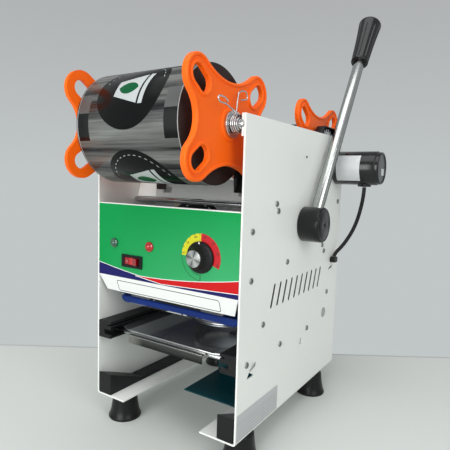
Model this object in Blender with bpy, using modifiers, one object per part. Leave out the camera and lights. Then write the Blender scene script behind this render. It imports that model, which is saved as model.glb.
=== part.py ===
"""Counter-top cup sealing machine: a lever presses a heated head on a cup, and two reels carry the film.

Metres, +Z up. Machine datum: X across with its zero midway between the side panels, Y back from the
front edges of the side panels, Z up from the underside of the bottom flanges. The datum empty moves
the whole machine so that the bottom centre of its bounding box is the world's origin.
"""

import math

import bmesh
import bpy
from mathutils import Euler, Matrix, Vector

# Clearance between touching pieces, and how far a cutter runs past what it cuts
FIT_GAP = 0.0003
OVERRUN = 0.003
WELD = 0.00001
FLAT_ANGLE = math.radians(0.2)

# Body shell
BODY_WIDTH = 0.250
BODY_DEPTH = 0.342
BODY_HEIGHT = 0.410
SHEET = 0.0025
FLANGE_WIDTH = 0.0557
BEND_RADIUS = 0.004
THIN_SHEET = 0.0015

# Vent slots of the side panels
VENT_COUNT = 10
VENT_PITCH = 0.0185
VENT_WIDTH = 0.005
VENT_TOP_Y = 0.0932
VENT_TOP_Z = 0.1925
VENT_BOTTOM_Z = 0.1584
VENT_LEAN = 0.0112
VENT_END_SEGMENTS = 2

# Small openings of the right panel
PLUG_Y = 0.2815
PLUG_Z = 0.1084
PLUG_RADIUS = 0.006
SQUARE_HOLE_Y = 0.1895
SQUARE_HOLE_Z = 0.0829
SQUARE_HOLE_SIZE = 0.010
WEDGE_HOLE_Y = 0.0226
WEDGE_HOLE_Z = 0.0790
WEDGE_HOLE_WIDTH = 0.0200
WEDGE_HOLE_HEIGHT = 0.0082
WEDGE_HOLE_PEAK_SHARE = 0.3
CABLE_SLOT_LENGTH = 0.020
CABLE_SLOT_WIDTH = 0.005
CABLE_SLOT_DROP = 0.019
CABLE_SLOT_LEAN = (0.020, 0.005)

# Control panel
FACE_TOP_Z = 0.294
FACE_FOLD_Z = 0.1875
FACE_RETURN = 0.008
STRIP_BOTTOM_Z = 0.163
STRIP_SETBACK = 0.0085
STRIP_END_TAPER = 0.0105
KNOB_X = 0.065
KNOB_Z = 0.233
KNOB_RADIUS = 0.0205
KNOB_SKIRT_EDGE = 0.003
KNOB_SHOULDER_RADIUS = 0.0155
KNOB_SHOULDER = 0.009
KNOB_CAP_RADIUS = 0.0114
KNOB_HEIGHT = 0.0165
KNOB_SPINDLE_RADIUS = 0.003
KNOB_SPINDLE_LENGTH = 0.014
KNOB_GRIPS = 6
KNOB_GRIP_RADIUS = 0.0032
GREEN_LAMP_X = -0.0895
GREEN_LAMP_Z = 0.2364
RED_LAMP_X = -0.0216
RED_LAMP_Z = 0.2373
LAMP_RADIUS = 0.0068
LAMP_STEM_RADIUS = 0.005
LAMP_STEM = 0.016
LAMP_RIM = 0.0025
LAMP_DOME = 0.0035
SWITCH_X = -0.054
SWITCH_Z = 0.213
SWITCH_WIDTH = 0.039
SWITCH_HEIGHT = 0.018
SWITCH_LIP = 0.003
SWITCH_RIM = 0.002
SWITCH_BODY_DEPTH = 0.015
ROCKER_TILT = math.radians(8)
ROCKER_PIVOT_DEPTH = 0.005
ROCKER_RISE = 0.0085
ROCKER_DIP = 0.0065
ROCKER_BELOW = 0.003

# Inner deck behind the control panel, and the film's guide rod
DECK_LOW_Y = 0.080
DECK_LOW_Z = 0.302
DECK_HIGH_Y = 0.088
DECK_HIGH_Z = 0.332
DECK_BACK_Y = 0.188
DECK_HOLE_LEFT_X = -0.0625
DECK_HOLE_RIGHT_X = 0.0755
DECK_HOLE_Z = 0.3135
DECK_HOLE_WIDTH = 0.016
DECK_HOLE_HEIGHT = 0.0085
GUIDE_ROD_Y = 0.0765
GUIDE_ROD_Z = 0.2975
GUIDE_ROD_RADIUS = 0.0036

# Film guide plate with its folded lip
GUIDE_PLATE_TOP_Z = 0.153
GUIDE_PLATE_THICKNESS = 0.002
GUIDE_LIP_Z = 0.143
GUIDE_LIP_Y = 0.025
GUIDE_LIP_LEFT_INSET = 0.025
GUIDE_LIP_RIGHT_INSET = 0.017
GUIDE_WING_Y = 0.036
GUIDE_WING_TAPER = 0.004
GUIDE_PLATE_BACK_INSET = 0.037
GUIDE_HOLE_RADIUS = 0.056

# Rear cover with its power inlet
REAR_COVER_INSET = 0.0035
REAR_COVER_LOW_Z = 0.130
REAR_COVER_HIGH_Z = 0.286
REAR_COVER_RETURN = 0.018
REAR_TAB_LOW_Z = 0.188
REAR_TAB_HIGH_Z = 0.240
REAR_TAB_REACH = 0.012
INLET_X = -0.060
INLET_Z = 0.170
INLET_WIDTH = 0.034
INLET_HEIGHT = 0.026
INLET_RIM = 0.004
INLET_RIM_DEPTH = 0.003
INLET_BODY = 0.020
INLET_WALL = 0.003
INLET_FLOOR = 0.004
INLET_PIN_WIDTH = 0.002
INLET_PIN_HEIGHT = 0.006
INLET_PIN_PITCH = 0.007
INLET_PIN_LENGTH = 0.012

# Film shelf at the right, wrapped in protective film
SHELF_LEFT_X = 0.028
SHELF_FRONT_Y = 0.019
SHELF_BACK_Y = 0.105
SHELF_TOP_Z = 0.040
SHELF_RISER_Z = 0.086
SHELF_SIDE_Z = 0.058

# Rubber feet
FOOT_HEIGHT = 0.036
FOOT_BOTTOM_RADIUS = 0.0245
FOOT_TOP_RADIUS = 0.017
FOOT_EDGE = 0.003
FOOT_WAIST_SHARE = 0.55
FOOT_BORE_RADIUS = 0.005
FOOT_BORE_DEPTH = 0.018
FOOT_LEFT_INSET = 0.033
FOOT_LEFT_FRONT_Y = 0.026
FOOT_LEFT_REAR_INSET = 0.058
FOOT_RIGHT_INSET = 0.015
FOOT_RIGHT_FRONT_Y = 0.038
FOOT_RIGHT_REAR_INSET = 0.065

# Rails of the tray and of the cup ramp
RAIL_WIDTH = 0.0242
RAIL_BOTTOM_Z = 0.090
RAIL_TOP_Z = 0.1155
RAIL_LENGTH = 0.300
RAIL_CAP = 0.005
GROOVE_DEPTH = 0.013
SLIT_Z = 0.1103
SLIT_HALF_HEIGHT = 0.0009
SLIT_DEPTH = 0.007
RAMP_WIDTH = 0.024
RAMP_FRONT_Z = 0.035
RAMP_LOW_Z = 0.008
RAMP_LENGTH = 0.068

# Sliding cup tray
TRAY_TOP_Z = 0.105
TRAY_THICKNESS = 0.002
TRAY_INSET = 0.029
TRAY_FRONT_Y = 0.016
TRAY_BACK_Y = 0.246
TRAY_CHAMFER_X = 0.019
TRAY_CHAMFER_Y = 0.010
AXLE_RADIUS = 0.003
AXLE_FRONT_Y = 0.0205
AXLE_REAR_Y = 0.232
ROLLER_RADIUS = 0.0072
ROLLER_WIDTH = 0.008
AXLE_END_CLEARANCE = 0.002
HANDLE_HALF_WIDTH = 0.066
HANDLE_FACE_Y = 0.006
HANDLE_BOTTOM_Z = 0.0905
HANDLE_BACK_Y = 0.0165
CUP_RADIUS = 0.044
CUP_RING_WALL = 0.0045
CUP_RING_FLANGE = 0.009
CUP_RING_RISE = 0.0023
CUP_RING_DROP = 0.007

# Lever outside the right panel
SHAFT_Y = 0.181
SHAFT_Z = 0.269
SHAFT_RADIUS = 0.008
BUSH_WALL = 0.004
BUSH_FLANGE = 0.005
BUSH_FLANGE_THICKNESS = 0.003
HUB_RADIUS = 0.0262
HUB_WIDTH = 0.0325
HUB_EDGE = 0.003
HUB_DIMPLE_RADIUS = 0.004
HUB_DIMPLE = 0.0012
HUB_BORE_DEPTH = 0.020
LEVER_LEAN = math.radians(32.8)
LEVER_TRAVEL = math.radians(95)
ROD_RADIUS = 0.0092
ROD_INSET = 0.0142
ROD_SOCKET_RADIUS = 0.018
GRIP_START = 0.3266
GRIP_END = 0.4255
GRIP_LOW_RADIUS = 0.0148
GRIP_HIGH_RADIUS = 0.020
GRIP_TOP_EDGE = 0.006
GRIP_CROWN = 0.0015
GRIP_BORE = 0.060
GRIP_FLUTES = 8
GRIP_FLUTE_DEPTH = 0.0014
GRIP_FLUTE_RADIUS = 0.003
GRIP_EDGE = 0.002

# Press: pinion on the lever's shaft, rack on the head's carriage
PINION_TEETH = 18
PINION_RADIUS = 0.030
PINION_WIDTH = 0.016
TOOTH_RISE_SHARE = 0.75
TOOTH_DIP_SHARE = 1.15
TOOTH_ROOT_SHARE = 0.62
TOOTH_TIP_SHARE = 0.22
RACK_TEETH = 10
RACK_BACK = 0.011
RACK_BLANK = 0.007
HEAD_Y = 0.170
CARRIAGE_HALF_WIDTH = 0.086
CARRIAGE_FRONT_Y = 0.128
CARRIAGE_BACK_Y = 0.218
CARRIAGE_THICKNESS = 0.008
CARRIAGE_CLEARANCE = 0.003
CARRIAGE_CORNER = 0.012
HEATER_RADIUS = 0.046
HEATER_FLANGE_RADIUS = 0.053
HEATER_FLANGE = 0.004
HEATER_NECK_RADIUS = 0.036
HEATER_HEIGHT = 0.030
CUTTER_WALL = 0.002
CUTTER_HEIGHT = 0.018
CUTTER_TEETH = 18
CUTTER_TOOTH = 0.002
SEAL_CLEARANCE = 0.0006
COLUMN_X = 0.072
COLUMN_Y = 0.155
COLUMN_RADIUS = 0.006
COLUMN_CLEARANCE = 0.0004
BRIDGE_FRONT_Y = 0.145
BRIDGE_BACK_Y = 0.212
BRIDGE_CLEARANCE = 0.003
BRIDGE_THICKNESS = 0.004
SPRING_X = 0.045
SPRING_Y = 0.203
SPRING_RADIUS = 0.006
SPRING_WIRE_RADIUS = 0.0008
SPRING_CURLS = 7
SPRING_CURL_POINTS = 8

# Reels: film, star plates and shafts
SUPPLY_Y = 0.001
SUPPLY_DROP = 0.013
REWIND_INSET = 0.065
REWIND_DROP = 0.017
REEL_SHAFT_RADIUS = 0.00625
JOURNAL_RADIUS = 0.003
FILM_LEFT_INSET = 0.0407
FILM_RIGHT_INSET = 0.0424
FILM_RADIUS = 0.073
WASTE_RADIUS = 0.038
CORE_RADIUS = 0.032
STAR_LOBE_Y = 0.063
STAR_LOBE_Z = 0.045
STAR_LOBE_RADIUS = 0.024
STAR_TOP_WAIST = 0.049
STAR_SIDE_WAIST = 0.067
STAR_LOBE_SEGMENTS = 6
STAR_WAIST_SEGMENTS = 3
STAR_PLATE = 0.005
STAR_RIM = 0.007
STAR_BEAD = 0.0045
SLOT_INNER = 0.056
SLOT_OUTER = 0.0898
SLOT_WIDTH = 0.0205
SLOT_END_SEGMENTS = 3
STAR_HUB_RADIUS = 0.020
STAR_PLUG_DEPTH = 0.012
STAR_PLUG_WALL = 0.004
STAR_RIGHT_INSET = 0.0242
STAR_LEFT_INSET = 0.0369
COLLAR_RADIUS = 0.016
COLLAR_FLANGE = 0.003
COLLAR_HUB_RADIUS = 0.0085
COLLAR_LENGTH = 0.0125
CLIP_WIRE_RADIUS = 0.001
CLIP_TURNS = 3
CLIP_TURN_POINTS = 9
CLIP_PITCH = 0.0026
CLIP_START = math.radians(120)
CLIP_END = math.radians(72)
BRACKET_THICKNESS = 0.003
BRACKET_DEPTH = 0.030
BRACKET_DROP = 0.027

# Rewind drive: motor outside the right panel, two gears under a cover inside it
MOTOR_INSET = 0.029
MOTOR_DROP = 0.052
MOTOR_RADIUS = 0.028
MOTOR_LENGTH = 0.077
MOTOR_CAP_LENGTH = 0.006
MOTOR_CAP_RADIUS = 0.0265
MOTOR_EDGE = 0.002
MOTOR_SPIGOT_RADIUS = 0.014
MOTOR_SHAFT_RADIUS = 0.004
MOTOR_SHAFT_DEPTH = 0.018
GROMMET_REACH = 0.0492
GROMMET_RADIUS = 0.011
GROMMET_DROP = 0.0032
REWIND_GEAR_TEETH = 20
MOTOR_GEAR_TEETH = 18
GEAR_INSET = 0.0135
GEAR_WIDTH = 0.007
COVER_INSET = 0.017
COVER_WALL = 0.0015
COVER_MARGIN = 0.002
COVER_RISE = 0.014
COVER_CHAMFER = 0.012

# Motor cable and its clip on the right panel
CABLE_RADIUS = 0.0032
CABLE_POINTS = 17
CABLE_SIDE_SEGMENTS = 2
CLIP_BLOCK_INSET = 0.034
CLIP_BLOCK_DEPTH = 0.014
CLIP_BLOCK_LOW_Z = 0.1935
CLIP_BLOCK_HEIGHT = 0.0095
CLIP_BLOCK_THICKNESS = 0.009
CLIP_BLOCK_CORNER = 0.002

# Segments of round forms
ROUND_STEPS = 28
FINE_STEPS = 36
SHAFT_STEPS = 24
BOSS_STEPS = 20
SMALL_STEPS = 16
TINY_STEPS = 10
FLUTE_STEPS = 6
CURVE_SEGMENTS = 4
EDGE_SEGMENTS = 3

# Derived values that several pieces share
HALF_WIDTH = BODY_WIDTH / 2
INNER_X = HALF_WIDTH - SHEET
SEAT_X = INNER_X - FIT_GAP
REAR_COVER_Y = BODY_DEPTH - REAR_COVER_INSET
GUIDE_LIP_LEFT_X = GUIDE_LIP_LEFT_INSET - HALF_WIDTH
GUIDE_LIP_RIGHT_X = HALF_WIDTH - GUIDE_LIP_RIGHT_INSET
GUIDE_PLATE_BACK_Y = BODY_DEPTH - GUIDE_PLATE_BACK_INSET
TRAY_HALF_WIDTH = HALF_WIDTH - TRAY_INSET
SUPPLY_Z = BODY_HEIGHT - SUPPLY_DROP
REWIND_Y = BODY_DEPTH - REWIND_INSET
REWIND_Z = BODY_HEIGHT - REWIND_DROP
MOTOR_Y = BODY_DEPTH - MOTOR_INSET
MOTOR_Z = BODY_HEIGHT - MOTOR_DROP
FILM_LEFT_X = FILM_LEFT_INSET - HALF_WIDTH
FILM_RIGHT_X = HALF_WIDTH - FILM_RIGHT_INSET
STAR_LEFT_X = STAR_LEFT_INSET - HALF_WIDTH
STAR_RIGHT_X = HALF_WIDTH - STAR_RIGHT_INSET
BRACKET_LOW_Z = BODY_HEIGHT - BRACKET_DROP
GEAR_LEFT_X = HALF_WIDTH - GEAR_INSET
COVER_LEFT_X = HALF_WIDTH - COVER_INSET
COVER_TOP_Z = BODY_HEIGHT + COVER_RISE
CLIP_BLOCK_Y = BODY_DEPTH - CLIP_BLOCK_INSET
GEAR_SPAN = math.hypot(REWIND_Y - MOTOR_Y, REWIND_Z - MOTOR_Z)
REWIND_GEAR_RADIUS = GEAR_SPAN * REWIND_GEAR_TEETH / (REWIND_GEAR_TEETH + MOTOR_GEAR_TEETH)
MOTOR_GEAR_RADIUS = GEAR_SPAN - REWIND_GEAR_RADIUS
STROKE = PINION_RADIUS * LEVER_TRAVEL
CARRIAGE_BOTTOM_Z = GUIDE_PLATE_TOP_Z + STROKE + CARRIAGE_CLEARANCE
CARRIAGE_TOP_Z = CARRIAGE_BOTTOM_Z + CARRIAGE_THICKNESS
PINION_MODULE = 2 * PINION_RADIUS / PINION_TEETH
PINION_REACH = PINION_RADIUS + TOOTH_RISE_SHARE * PINION_MODULE
BRIDGE_BOTTOM_Z = SHAFT_Z + PINION_REACH + BRIDGE_CLEARANCE
HEAD_BOTTOM_Z = TRAY_TOP_Z + FIT_GAP + CUP_RING_RISE + SEAL_CLEARANCE + STROKE
AXLE_Z = TRAY_TOP_Z - TRAY_THICKNESS - FIT_GAP - AXLE_RADIUS
RAIL_INNER_X = SEAT_X - RAIL_WIDTH
BUSH_RADIUS = SHAFT_RADIUS + FIT_GAP + BUSH_WALL
BRACKET_X = SEAT_X - BRACKET_THICKNESS
COVER_FRONT_Y = REWIND_Y - REWIND_GEAR_RADIUS - COVER_MARGIN - COVER_WALL - COVER_MARGIN
COVER_BACK_Y = MOTOR_Y + MOTOR_GEAR_RADIUS + COVER_MARGIN + COVER_WALL
MOTOR_LEFT_X = HALF_WIDTH + FIT_GAP
MOTOR_RIGHT_X = MOTOR_LEFT_X + MOTOR_LENGTH
HUB_LEFT_X = HALF_WIDTH + FIT_GAP
LEVER_X = HUB_LEFT_X + ROD_INSET
GRIP_SHOULDER = GRIP_END - GRIP_CROWN - GRIP_TOP_EDGE

# The machine's bounding box in its own datum, from the pieces that reach farthest
STAR_REACH = STAR_LOBE_Y + STAR_LOBE_RADIUS
GRIP_RIM_RADIUS = GRIP_HIGH_RADIUS - GRIP_TOP_EDGE
GRIP_REACH = GRIP_SHOULDER * math.sin(LEVER_LEAN) + GRIP_RIM_RADIUS * math.cos(LEVER_LEAN) + GRIP_TOP_EDGE
LEVER_REACH_Y = SHAFT_Y + GRIP_REACH
DATUM = Vector((
    -(MOTOR_RIGHT_X - HALF_WIDTH) / 2,
    -(LEVER_REACH_Y + SUPPLY_Y - STAR_REACH) / 2,
    FOOT_HEIGHT + FIT_GAP,
))

# Turns that point local Z to the right, to the left and to the front, with local Y up
ALONG_X = (math.pi / 2, 0, math.pi / 2)
ALONG_MINUS_X = (math.pi / 2, 0, -math.pi / 2)
TOWARD_FRONT = (math.pi / 2, 0, 0)
FLAT = (0, 0, 0)


# Scene, materials and placing

def clear_scene():
    for item in list(bpy.data.objects):
        bpy.data.objects.remove(item, do_unlink=True)


def new_collection(name):
    collection = bpy.data.collections.new(name)
    bpy.context.scene.collection.children.link(collection)
    return collection


clear_scene()
MACHINE = new_collection("cup_sealing_machine")
CUTTERS = new_collection("cutters")


def material(name, color, roughness, metallic):
    paint = bpy.data.materials.new(name)
    paint.use_nodes = True
    shader = paint.node_tree.nodes["Principled BSDF"]
    shader.inputs["Base Color"].default_value = (*color, 1)
    shader.inputs["Roughness"].default_value = roughness
    shader.inputs["Metallic"].default_value = metallic
    paint.diffuse_color = (*color, 1)
    return paint


WHITE_PAINT = ((0.86, 0.87, 0.86), 0.35, 0)
GREEN_PRINT = ((0.05, 0.50, 0.24), 0.35, 0)
BLACK_PAINT = ((0.02, 0.02, 0.022), 0.45, 0)
BLACK_PLASTIC = ((0.018, 0.018, 0.02), 0.4, 0)
BLACK_RUBBER = ((0.012, 0.012, 0.013), 0.75, 0)
CHROME = ((0.82, 0.83, 0.85), 0.1, 1)
STEEL = ((0.55, 0.56, 0.58), 0.3, 1)
DARK_MIRROR = ((0.22, 0.23, 0.25), 0.08, 1)
ALUMINIUM = ((0.72, 0.73, 0.74), 0.4, 1)
BRASS = ((0.78, 0.58, 0.25), 0.3, 1)
ORANGE = ((0.95, 0.22, 0.03), 0.4, 0)
FILM_BLACK = ((0.03, 0.032, 0.035), 0.2, 0)
BLUE_FILM = ((0.02, 0.12, 0.55), 0.3, 0)
TEAL_FILM = ((0.0, 0.25, 0.38), 0.3, 0)
LAMP_GREEN = ((0.0, 0.32, 0.12), 0.2, 0)
LAMP_RED = ((0.65, 0.02, 0.03), 0.2, 0)


def empty(name, at, parent=None):
    pivot = bpy.data.objects.new(name, None)
    pivot.location = at
    pivot.parent = parent
    MACHINE.objects.link(pivot)
    return pivot


def add_mesh(name, mesh, home=None):
    item = bpy.data.objects.new(name, mesh)
    (home or MACHINE).objects.link(item)
    return item


def place(item, finish, pivot, at=(0, 0, 0), turn=FLAT):
    """Gives a sub-part its material and its place, stated in the machine's datum."""
    item.data.materials.clear()
    item.data.materials.append(material(item.name, *finish))
    item.parent = pivot
    base = Vector((0, 0, 0)) if pivot == FRAME else pivot.location
    item.location = Vector(at) - base
    item.rotation_euler = turn
    return item


def smooth(item, angle=math.radians(35)):
    item.data.shade_smooth()
    item.data.set_sharp_from_angle(angle=angle)
    return item


# Basic solids, each a mesh object at the origin

def box_mesh(name, corner_a, corner_b):
    low = Vector(corner_a)
    high = Vector(corner_b)
    form = bmesh.new()
    bmesh.ops.create_cube(form, size=1)
    bmesh.ops.scale(form, vec=high - low, verts=form.verts)
    bmesh.ops.translate(form, vec=(low + high) / 2, verts=form.verts)
    mesh = bpy.data.meshes.new(name)
    form.to_mesh(mesh)
    form.free()
    return mesh


def box(name, corner_a, corner_b):
    return add_mesh(name, box_mesh(name, corner_a, corner_b))


def centred_box(name, half_width, half_height, front_y, back_y):
    """A box about the local Y axis, from its front to its back."""
    return box(name, (-half_width, front_y, -half_height), (half_width, back_y, half_height))


def turned(name, profile, steps=ROUND_STEPS, closed=False):
    """Revolves (radius, height) points about local Z; they run down the outer side."""
    form = bmesh.new()
    points = [form.verts.new((radius, 0, height)) for radius, height in profile]
    for first, second in zip(points, points[1:]):
        form.edges.new((first, second))
    if closed:
        form.edges.new((points[-1], points[0]))
    mesh = bpy.data.meshes.new(name)
    form.to_mesh(mesh)
    form.free()
    item = add_mesh(name, mesh)
    screw = item.modifiers.new("turn", "SCREW")
    screw.steps = steps
    screw.render_steps = steps
    screw.use_merge_vertices = True
    screw.merge_threshold = WELD
    screw.use_smooth_shade = True
    return bake(item)


def rod(name, radius, low, high, steps=SMALL_STEPS):
    return turned(name, ((0, high), (radius, high), (radius, low), (0, low)), steps)


def ring(name, outer, inner, low, high, steps=ROUND_STEPS):
    profile = ((outer, high), (outer, low), (inner, low), (inner, high))
    return turned(name, profile, steps, closed=True)


def bake(item):
    """Turns a curve, or a mesh with modifiers, into a plain welded mesh object of the same name."""
    bpy.context.view_layer.update()
    seen = item.evaluated_get(bpy.context.evaluated_depsgraph_get())
    mesh = bpy.data.meshes.new_from_object(seen)
    form = bmesh.new()
    form.from_mesh(mesh)
    bmesh.ops.remove_doubles(form, verts=form.verts, dist=WELD)
    bmesh.ops.dissolve_limit(form, angle_limit=FLAT_ANGLE, verts=form.verts, edges=form.edges)
    form.to_mesh(mesh)
    form.free()
    name = item.name
    matrix = item.matrix_world.copy()
    home = item.users_collection[0]
    bpy.data.objects.remove(item, do_unlink=True)
    solid = add_mesh(name, mesh, home)
    solid.name = name
    solid.matrix_world = matrix
    return solid


def slab(name, loops, thickness):
    """A flat sheet of that thickness about local Z, from an outline and its holes."""
    curve = bpy.data.curves.new(name, "CURVE")
    curve.dimensions = "2D"
    curve.fill_mode = "BOTH"
    curve.extrude = thickness / 2
    for loop in loops:
        spline = curve.splines.new("POLY")
        spline.points.add(len(loop) - 1)
        spline.use_cyclic_u = True
        for point, (x, y) in zip(spline.points, loop):
            point.co = (x, y, 0, 1)
    item = bpy.data.objects.new(name, curve)
    MACHINE.objects.link(item)
    return bake(item)


def wire(name, points, radius, resolution=1):
    curve = bpy.data.curves.new(name, "CURVE")
    curve.dimensions = "3D"
    curve.bevel_depth = radius
    curve.bevel_resolution = resolution
    curve.use_fill_caps = True
    spline = curve.splines.new("POLY")
    spline.points.add(len(points) - 1)
    for target, source in zip(spline.points, points):
        target.co = (*source, 1)
    item = bpy.data.objects.new(name, curve)
    MACHINE.objects.link(item)
    return bake(item)


def combine(target, others, operation):
    """Joins or cuts with other solids, which then go; all are in the target's local frame."""
    for other in others:
        change = target.modifiers.new(operation.lower(), "BOOLEAN")
        change.operation = operation
        change.solver = "EXACT"
        change.object = other
    solid = bake(target)
    for other in others:
        bpy.data.objects.remove(other, do_unlink=True)
    return solid


def cut(target, *others):
    return combine(target, others, "DIFFERENCE")


def join(target, *others):
    return combine(target, others, "UNION")


def turn_mesh(item, turn, at=(0, 0, 0)):
    """Turns and moves the mesh itself, so that the object's own frame stays the datum."""
    rotation = Euler(turn).to_matrix().to_4x4()
    item.data.transform(Matrix.Translation(at) @ rotation)
    return item


# Outlines

def arc(center, radius, start, end, segments):
    x, y = center
    points = []
    for index in range(segments + 1):
        angle = start + (end - start) * index / segments
        points.append((x + radius * math.cos(angle), y + radius * math.sin(angle)))
    return points


def circle(center, radius, segments=SMALL_STEPS):
    return arc(center, radius, 0, math.tau, segments)[:-1]


def stadium(center, along, length, width, segments=SLOT_END_SEGMENTS):
    """A slot with round ends whose long axis points in the direction along."""
    x, y = center
    direction = math.atan2(along[1], along[0])
    half = (length - width) / 2
    points = []
    for side in (0, math.pi):
        facing = direction + side
        end = (x + half * math.cos(facing), y + half * math.sin(facing))
        points += arc(end, width / 2, facing - math.pi / 2, facing + math.pi / 2, segments)
    return points


def rectangle(low_x, low_y, high_x, high_y):
    return [(low_x, low_y), (high_x, low_y), (high_x, high_y), (low_x, high_y)]


def rounded_rectangle(low_x, low_y, high_x, high_y, radius, segments=CURVE_SEGMENTS):
    corners = (
        ((high_x - radius, high_y - radius), 0),
        ((low_x + radius, high_y - radius), math.pi / 2),
        ((low_x + radius, low_y + radius), math.pi),
        ((high_x - radius, low_y + radius), 3 * math.pi / 2),
    )
    points = []
    for center, start in corners:
        points += arc(center, radius, start, start + math.pi / 2, segments)
    return points


def tooth_corners(root, tip):
    """One tooth's four corners: its depth there, and its half width as a share of half the pitch."""
    return (
        (root, -TOOTH_ROOT_SHARE), (tip, -TOOTH_TIP_SHARE),
        (tip, TOOTH_TIP_SHARE), (root, TOOTH_ROOT_SHARE),
    )


def gear_outline(teeth, radius):
    """Straight-flanked teeth with a tooth centred on local +X."""
    module = 2 * radius / teeth
    tip = radius + TOOTH_RISE_SHARE * module
    root = radius - TOOTH_DIP_SHARE * module
    pitch = math.tau / teeth
    points = []
    for index in range(teeth):
        for reach, share in tooth_corners(root, tip):
            angle = (index + share / 2) * pitch
            points.append((reach * math.cos(angle), reach * math.sin(angle)))
    return points


def waist_arc(lobe_along, lobe_across, lobe_radius, waist):
    """Centre distance and radius of the hollow arc that touches two lobes and passes the waist."""
    narrowing = waist - lobe_radius
    center = (lobe_along ** 2 + lobe_across ** 2 - narrowing ** 2) / (2 * (lobe_along - narrowing))
    return center, center - waist


def star_outline(inset):
    """Four lobes joined by hollow arcs, drawn in by the inset; local X is the machine's Y."""
    lobe = STAR_LOBE_RADIUS - inset
    top_center, top_radius = waist_arc(STAR_LOBE_Z, STAR_LOBE_Y, lobe, STAR_TOP_WAIST - inset)
    side_center, side_radius = waist_arc(STAR_LOBE_Y, STAR_LOBE_Z, lobe, STAR_SIDE_WAIST - inset)
    side_touch = math.atan2(STAR_LOBE_Z, side_center - STAR_LOBE_Y)
    top_touch = math.atan2(STAR_LOBE_Y, top_center - STAR_LOBE_Z)
    quarter = arc((side_center, 0), side_radius, math.pi, math.pi - side_touch, STAR_WAIST_SEGMENTS)
    lobe_start = -side_touch
    lobe_end = math.pi / 2 + top_touch
    quarter += arc((STAR_LOBE_Y, STAR_LOBE_Z), lobe, lobe_start, lobe_end, STAR_LOBE_SEGMENTS)[1:]
    top_start = top_touch - math.pi / 2
    quarter += arc((0, top_center), top_radius, top_start, -math.pi / 2, STAR_WAIST_SEGMENTS)[1:]
    upper = quarter + [(-x, y) for x, y in reversed(quarter[:-1])]
    lower = [(-x, -y) for x, y in upper[1:-1]]
    return upper + lower


def star_slots(growth):
    """The slot in each lobe, grown by an equal margin all round."""
    slots = []
    length = SLOT_OUTER - SLOT_INNER + 2 * growth
    middle = (SLOT_OUTER + SLOT_INNER) / 2
    for sign_y, sign_z in ((1, 1), (-1, 1), (-1, -1), (1, -1)):
        along = Vector((sign_y * STAR_LOBE_Y, sign_z * STAR_LOBE_Z)).normalized()
        slots.append(stadium(along * middle, along, length, SLOT_WIDTH + 2 * growth))
    return slots


# Body shell

def panel_profile(side):
    """L-shaped section of a side panel with its bottom flange, in X and Z."""
    inner_bend = BEND_RADIUS - SHEET
    center = HALF_WIDTH - BEND_RADIUS
    outer = arc((center, BEND_RADIUS), BEND_RADIUS, -math.pi / 2, 0, CURVE_SEGMENTS)
    inner = arc((center, BEND_RADIUS), inner_bend, 0, -math.pi / 2, EDGE_SEGMENTS)
    points = [(HALF_WIDTH - FLANGE_WIDTH, 0)] + outer
    points += [(HALF_WIDTH, BODY_HEIGHT), (HALF_WIDTH - SHEET, BODY_HEIGHT)] + inner
    points += [(HALF_WIDTH - FLANGE_WIDTH, SHEET)]
    return [(side * x, z) for x, z in points]


def vent_cutter(side):
    loops = []
    lean = (VENT_LEAN, VENT_TOP_Z - VENT_BOTTOM_Z)
    length = math.hypot(*lean)
    for index in range(VENT_COUNT):
        middle_y = VENT_TOP_Y + index * VENT_PITCH - VENT_LEAN / 2
        center = (middle_y, (VENT_TOP_Z + VENT_BOTTOM_Z) / 2)
        loops.append(stadium(center, lean, length, VENT_WIDTH, VENT_END_SEGMENTS))
    return panel_cutter("vent_cutter", loops, side)


def panel_cutter(name, loops, side):
    """Outlines in Y and Z, made thick enough to go through a side panel."""
    cutter = slab(name, loops, SHEET + 2 * OVERRUN)
    return turn_mesh(cutter, ALONG_X, (side * (HALF_WIDTH - SHEET / 2), 0, 0))


def side_panel(name, side):
    panel = slab(name, [panel_profile(side)], BODY_DEPTH)
    turn_mesh(panel, TOWARD_FRONT, (0, BODY_DEPTH / 2, 0))
    loops = [circle((SHAFT_Y, SHAFT_Z), BUSH_RADIUS + FIT_GAP)]
    if side > 0:
        loops += right_panel_holes()
    else:
        loops.append(circle((REWIND_Y, REWIND_Z), JOURNAL_RADIUS + FIT_GAP, SMALL_STEPS))
    panel = cut(panel, vent_cutter(side), panel_cutter("hole_cutter", loops, side))
    return place(panel, WHITE_PAINT, FRAME)


def right_panel_holes():
    square = SQUARE_HOLE_SIZE / 2
    slot_z = CLIP_BLOCK_LOW_Z - CABLE_SLOT_DROP / 2
    return [
        circle((MOTOR_Y, MOTOR_Z), MOTOR_SPIGOT_RADIUS + FIT_GAP),
        circle((PLUG_Y, PLUG_Z), PLUG_RADIUS),
        wedge_hole(),
        [(SQUARE_HOLE_Y + y, SQUARE_HOLE_Z + z) for y, z in rectangle(-square, -square, square, square)],
        stadium((CLIP_BLOCK_Y, slot_z), CABLE_SLOT_LEAN, CABLE_SLOT_LENGTH, CABLE_SLOT_WIDTH, CURVE_SEGMENTS),
    ]


def wedge_hole():
    """Three-cornered hole whose peak is nearer its front corner."""
    peak_y = WEDGE_HOLE_Y + WEDGE_HOLE_PEAK_SHARE * WEDGE_HOLE_WIDTH
    return [
        (WEDGE_HOLE_Y, WEDGE_HOLE_Z), (WEDGE_HOLE_Y + WEDGE_HOLE_WIDTH, WEDGE_HOLE_Z),
        (peak_y, WEDGE_HOLE_Z + WEDGE_HOLE_HEIGHT),
    ]


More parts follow.
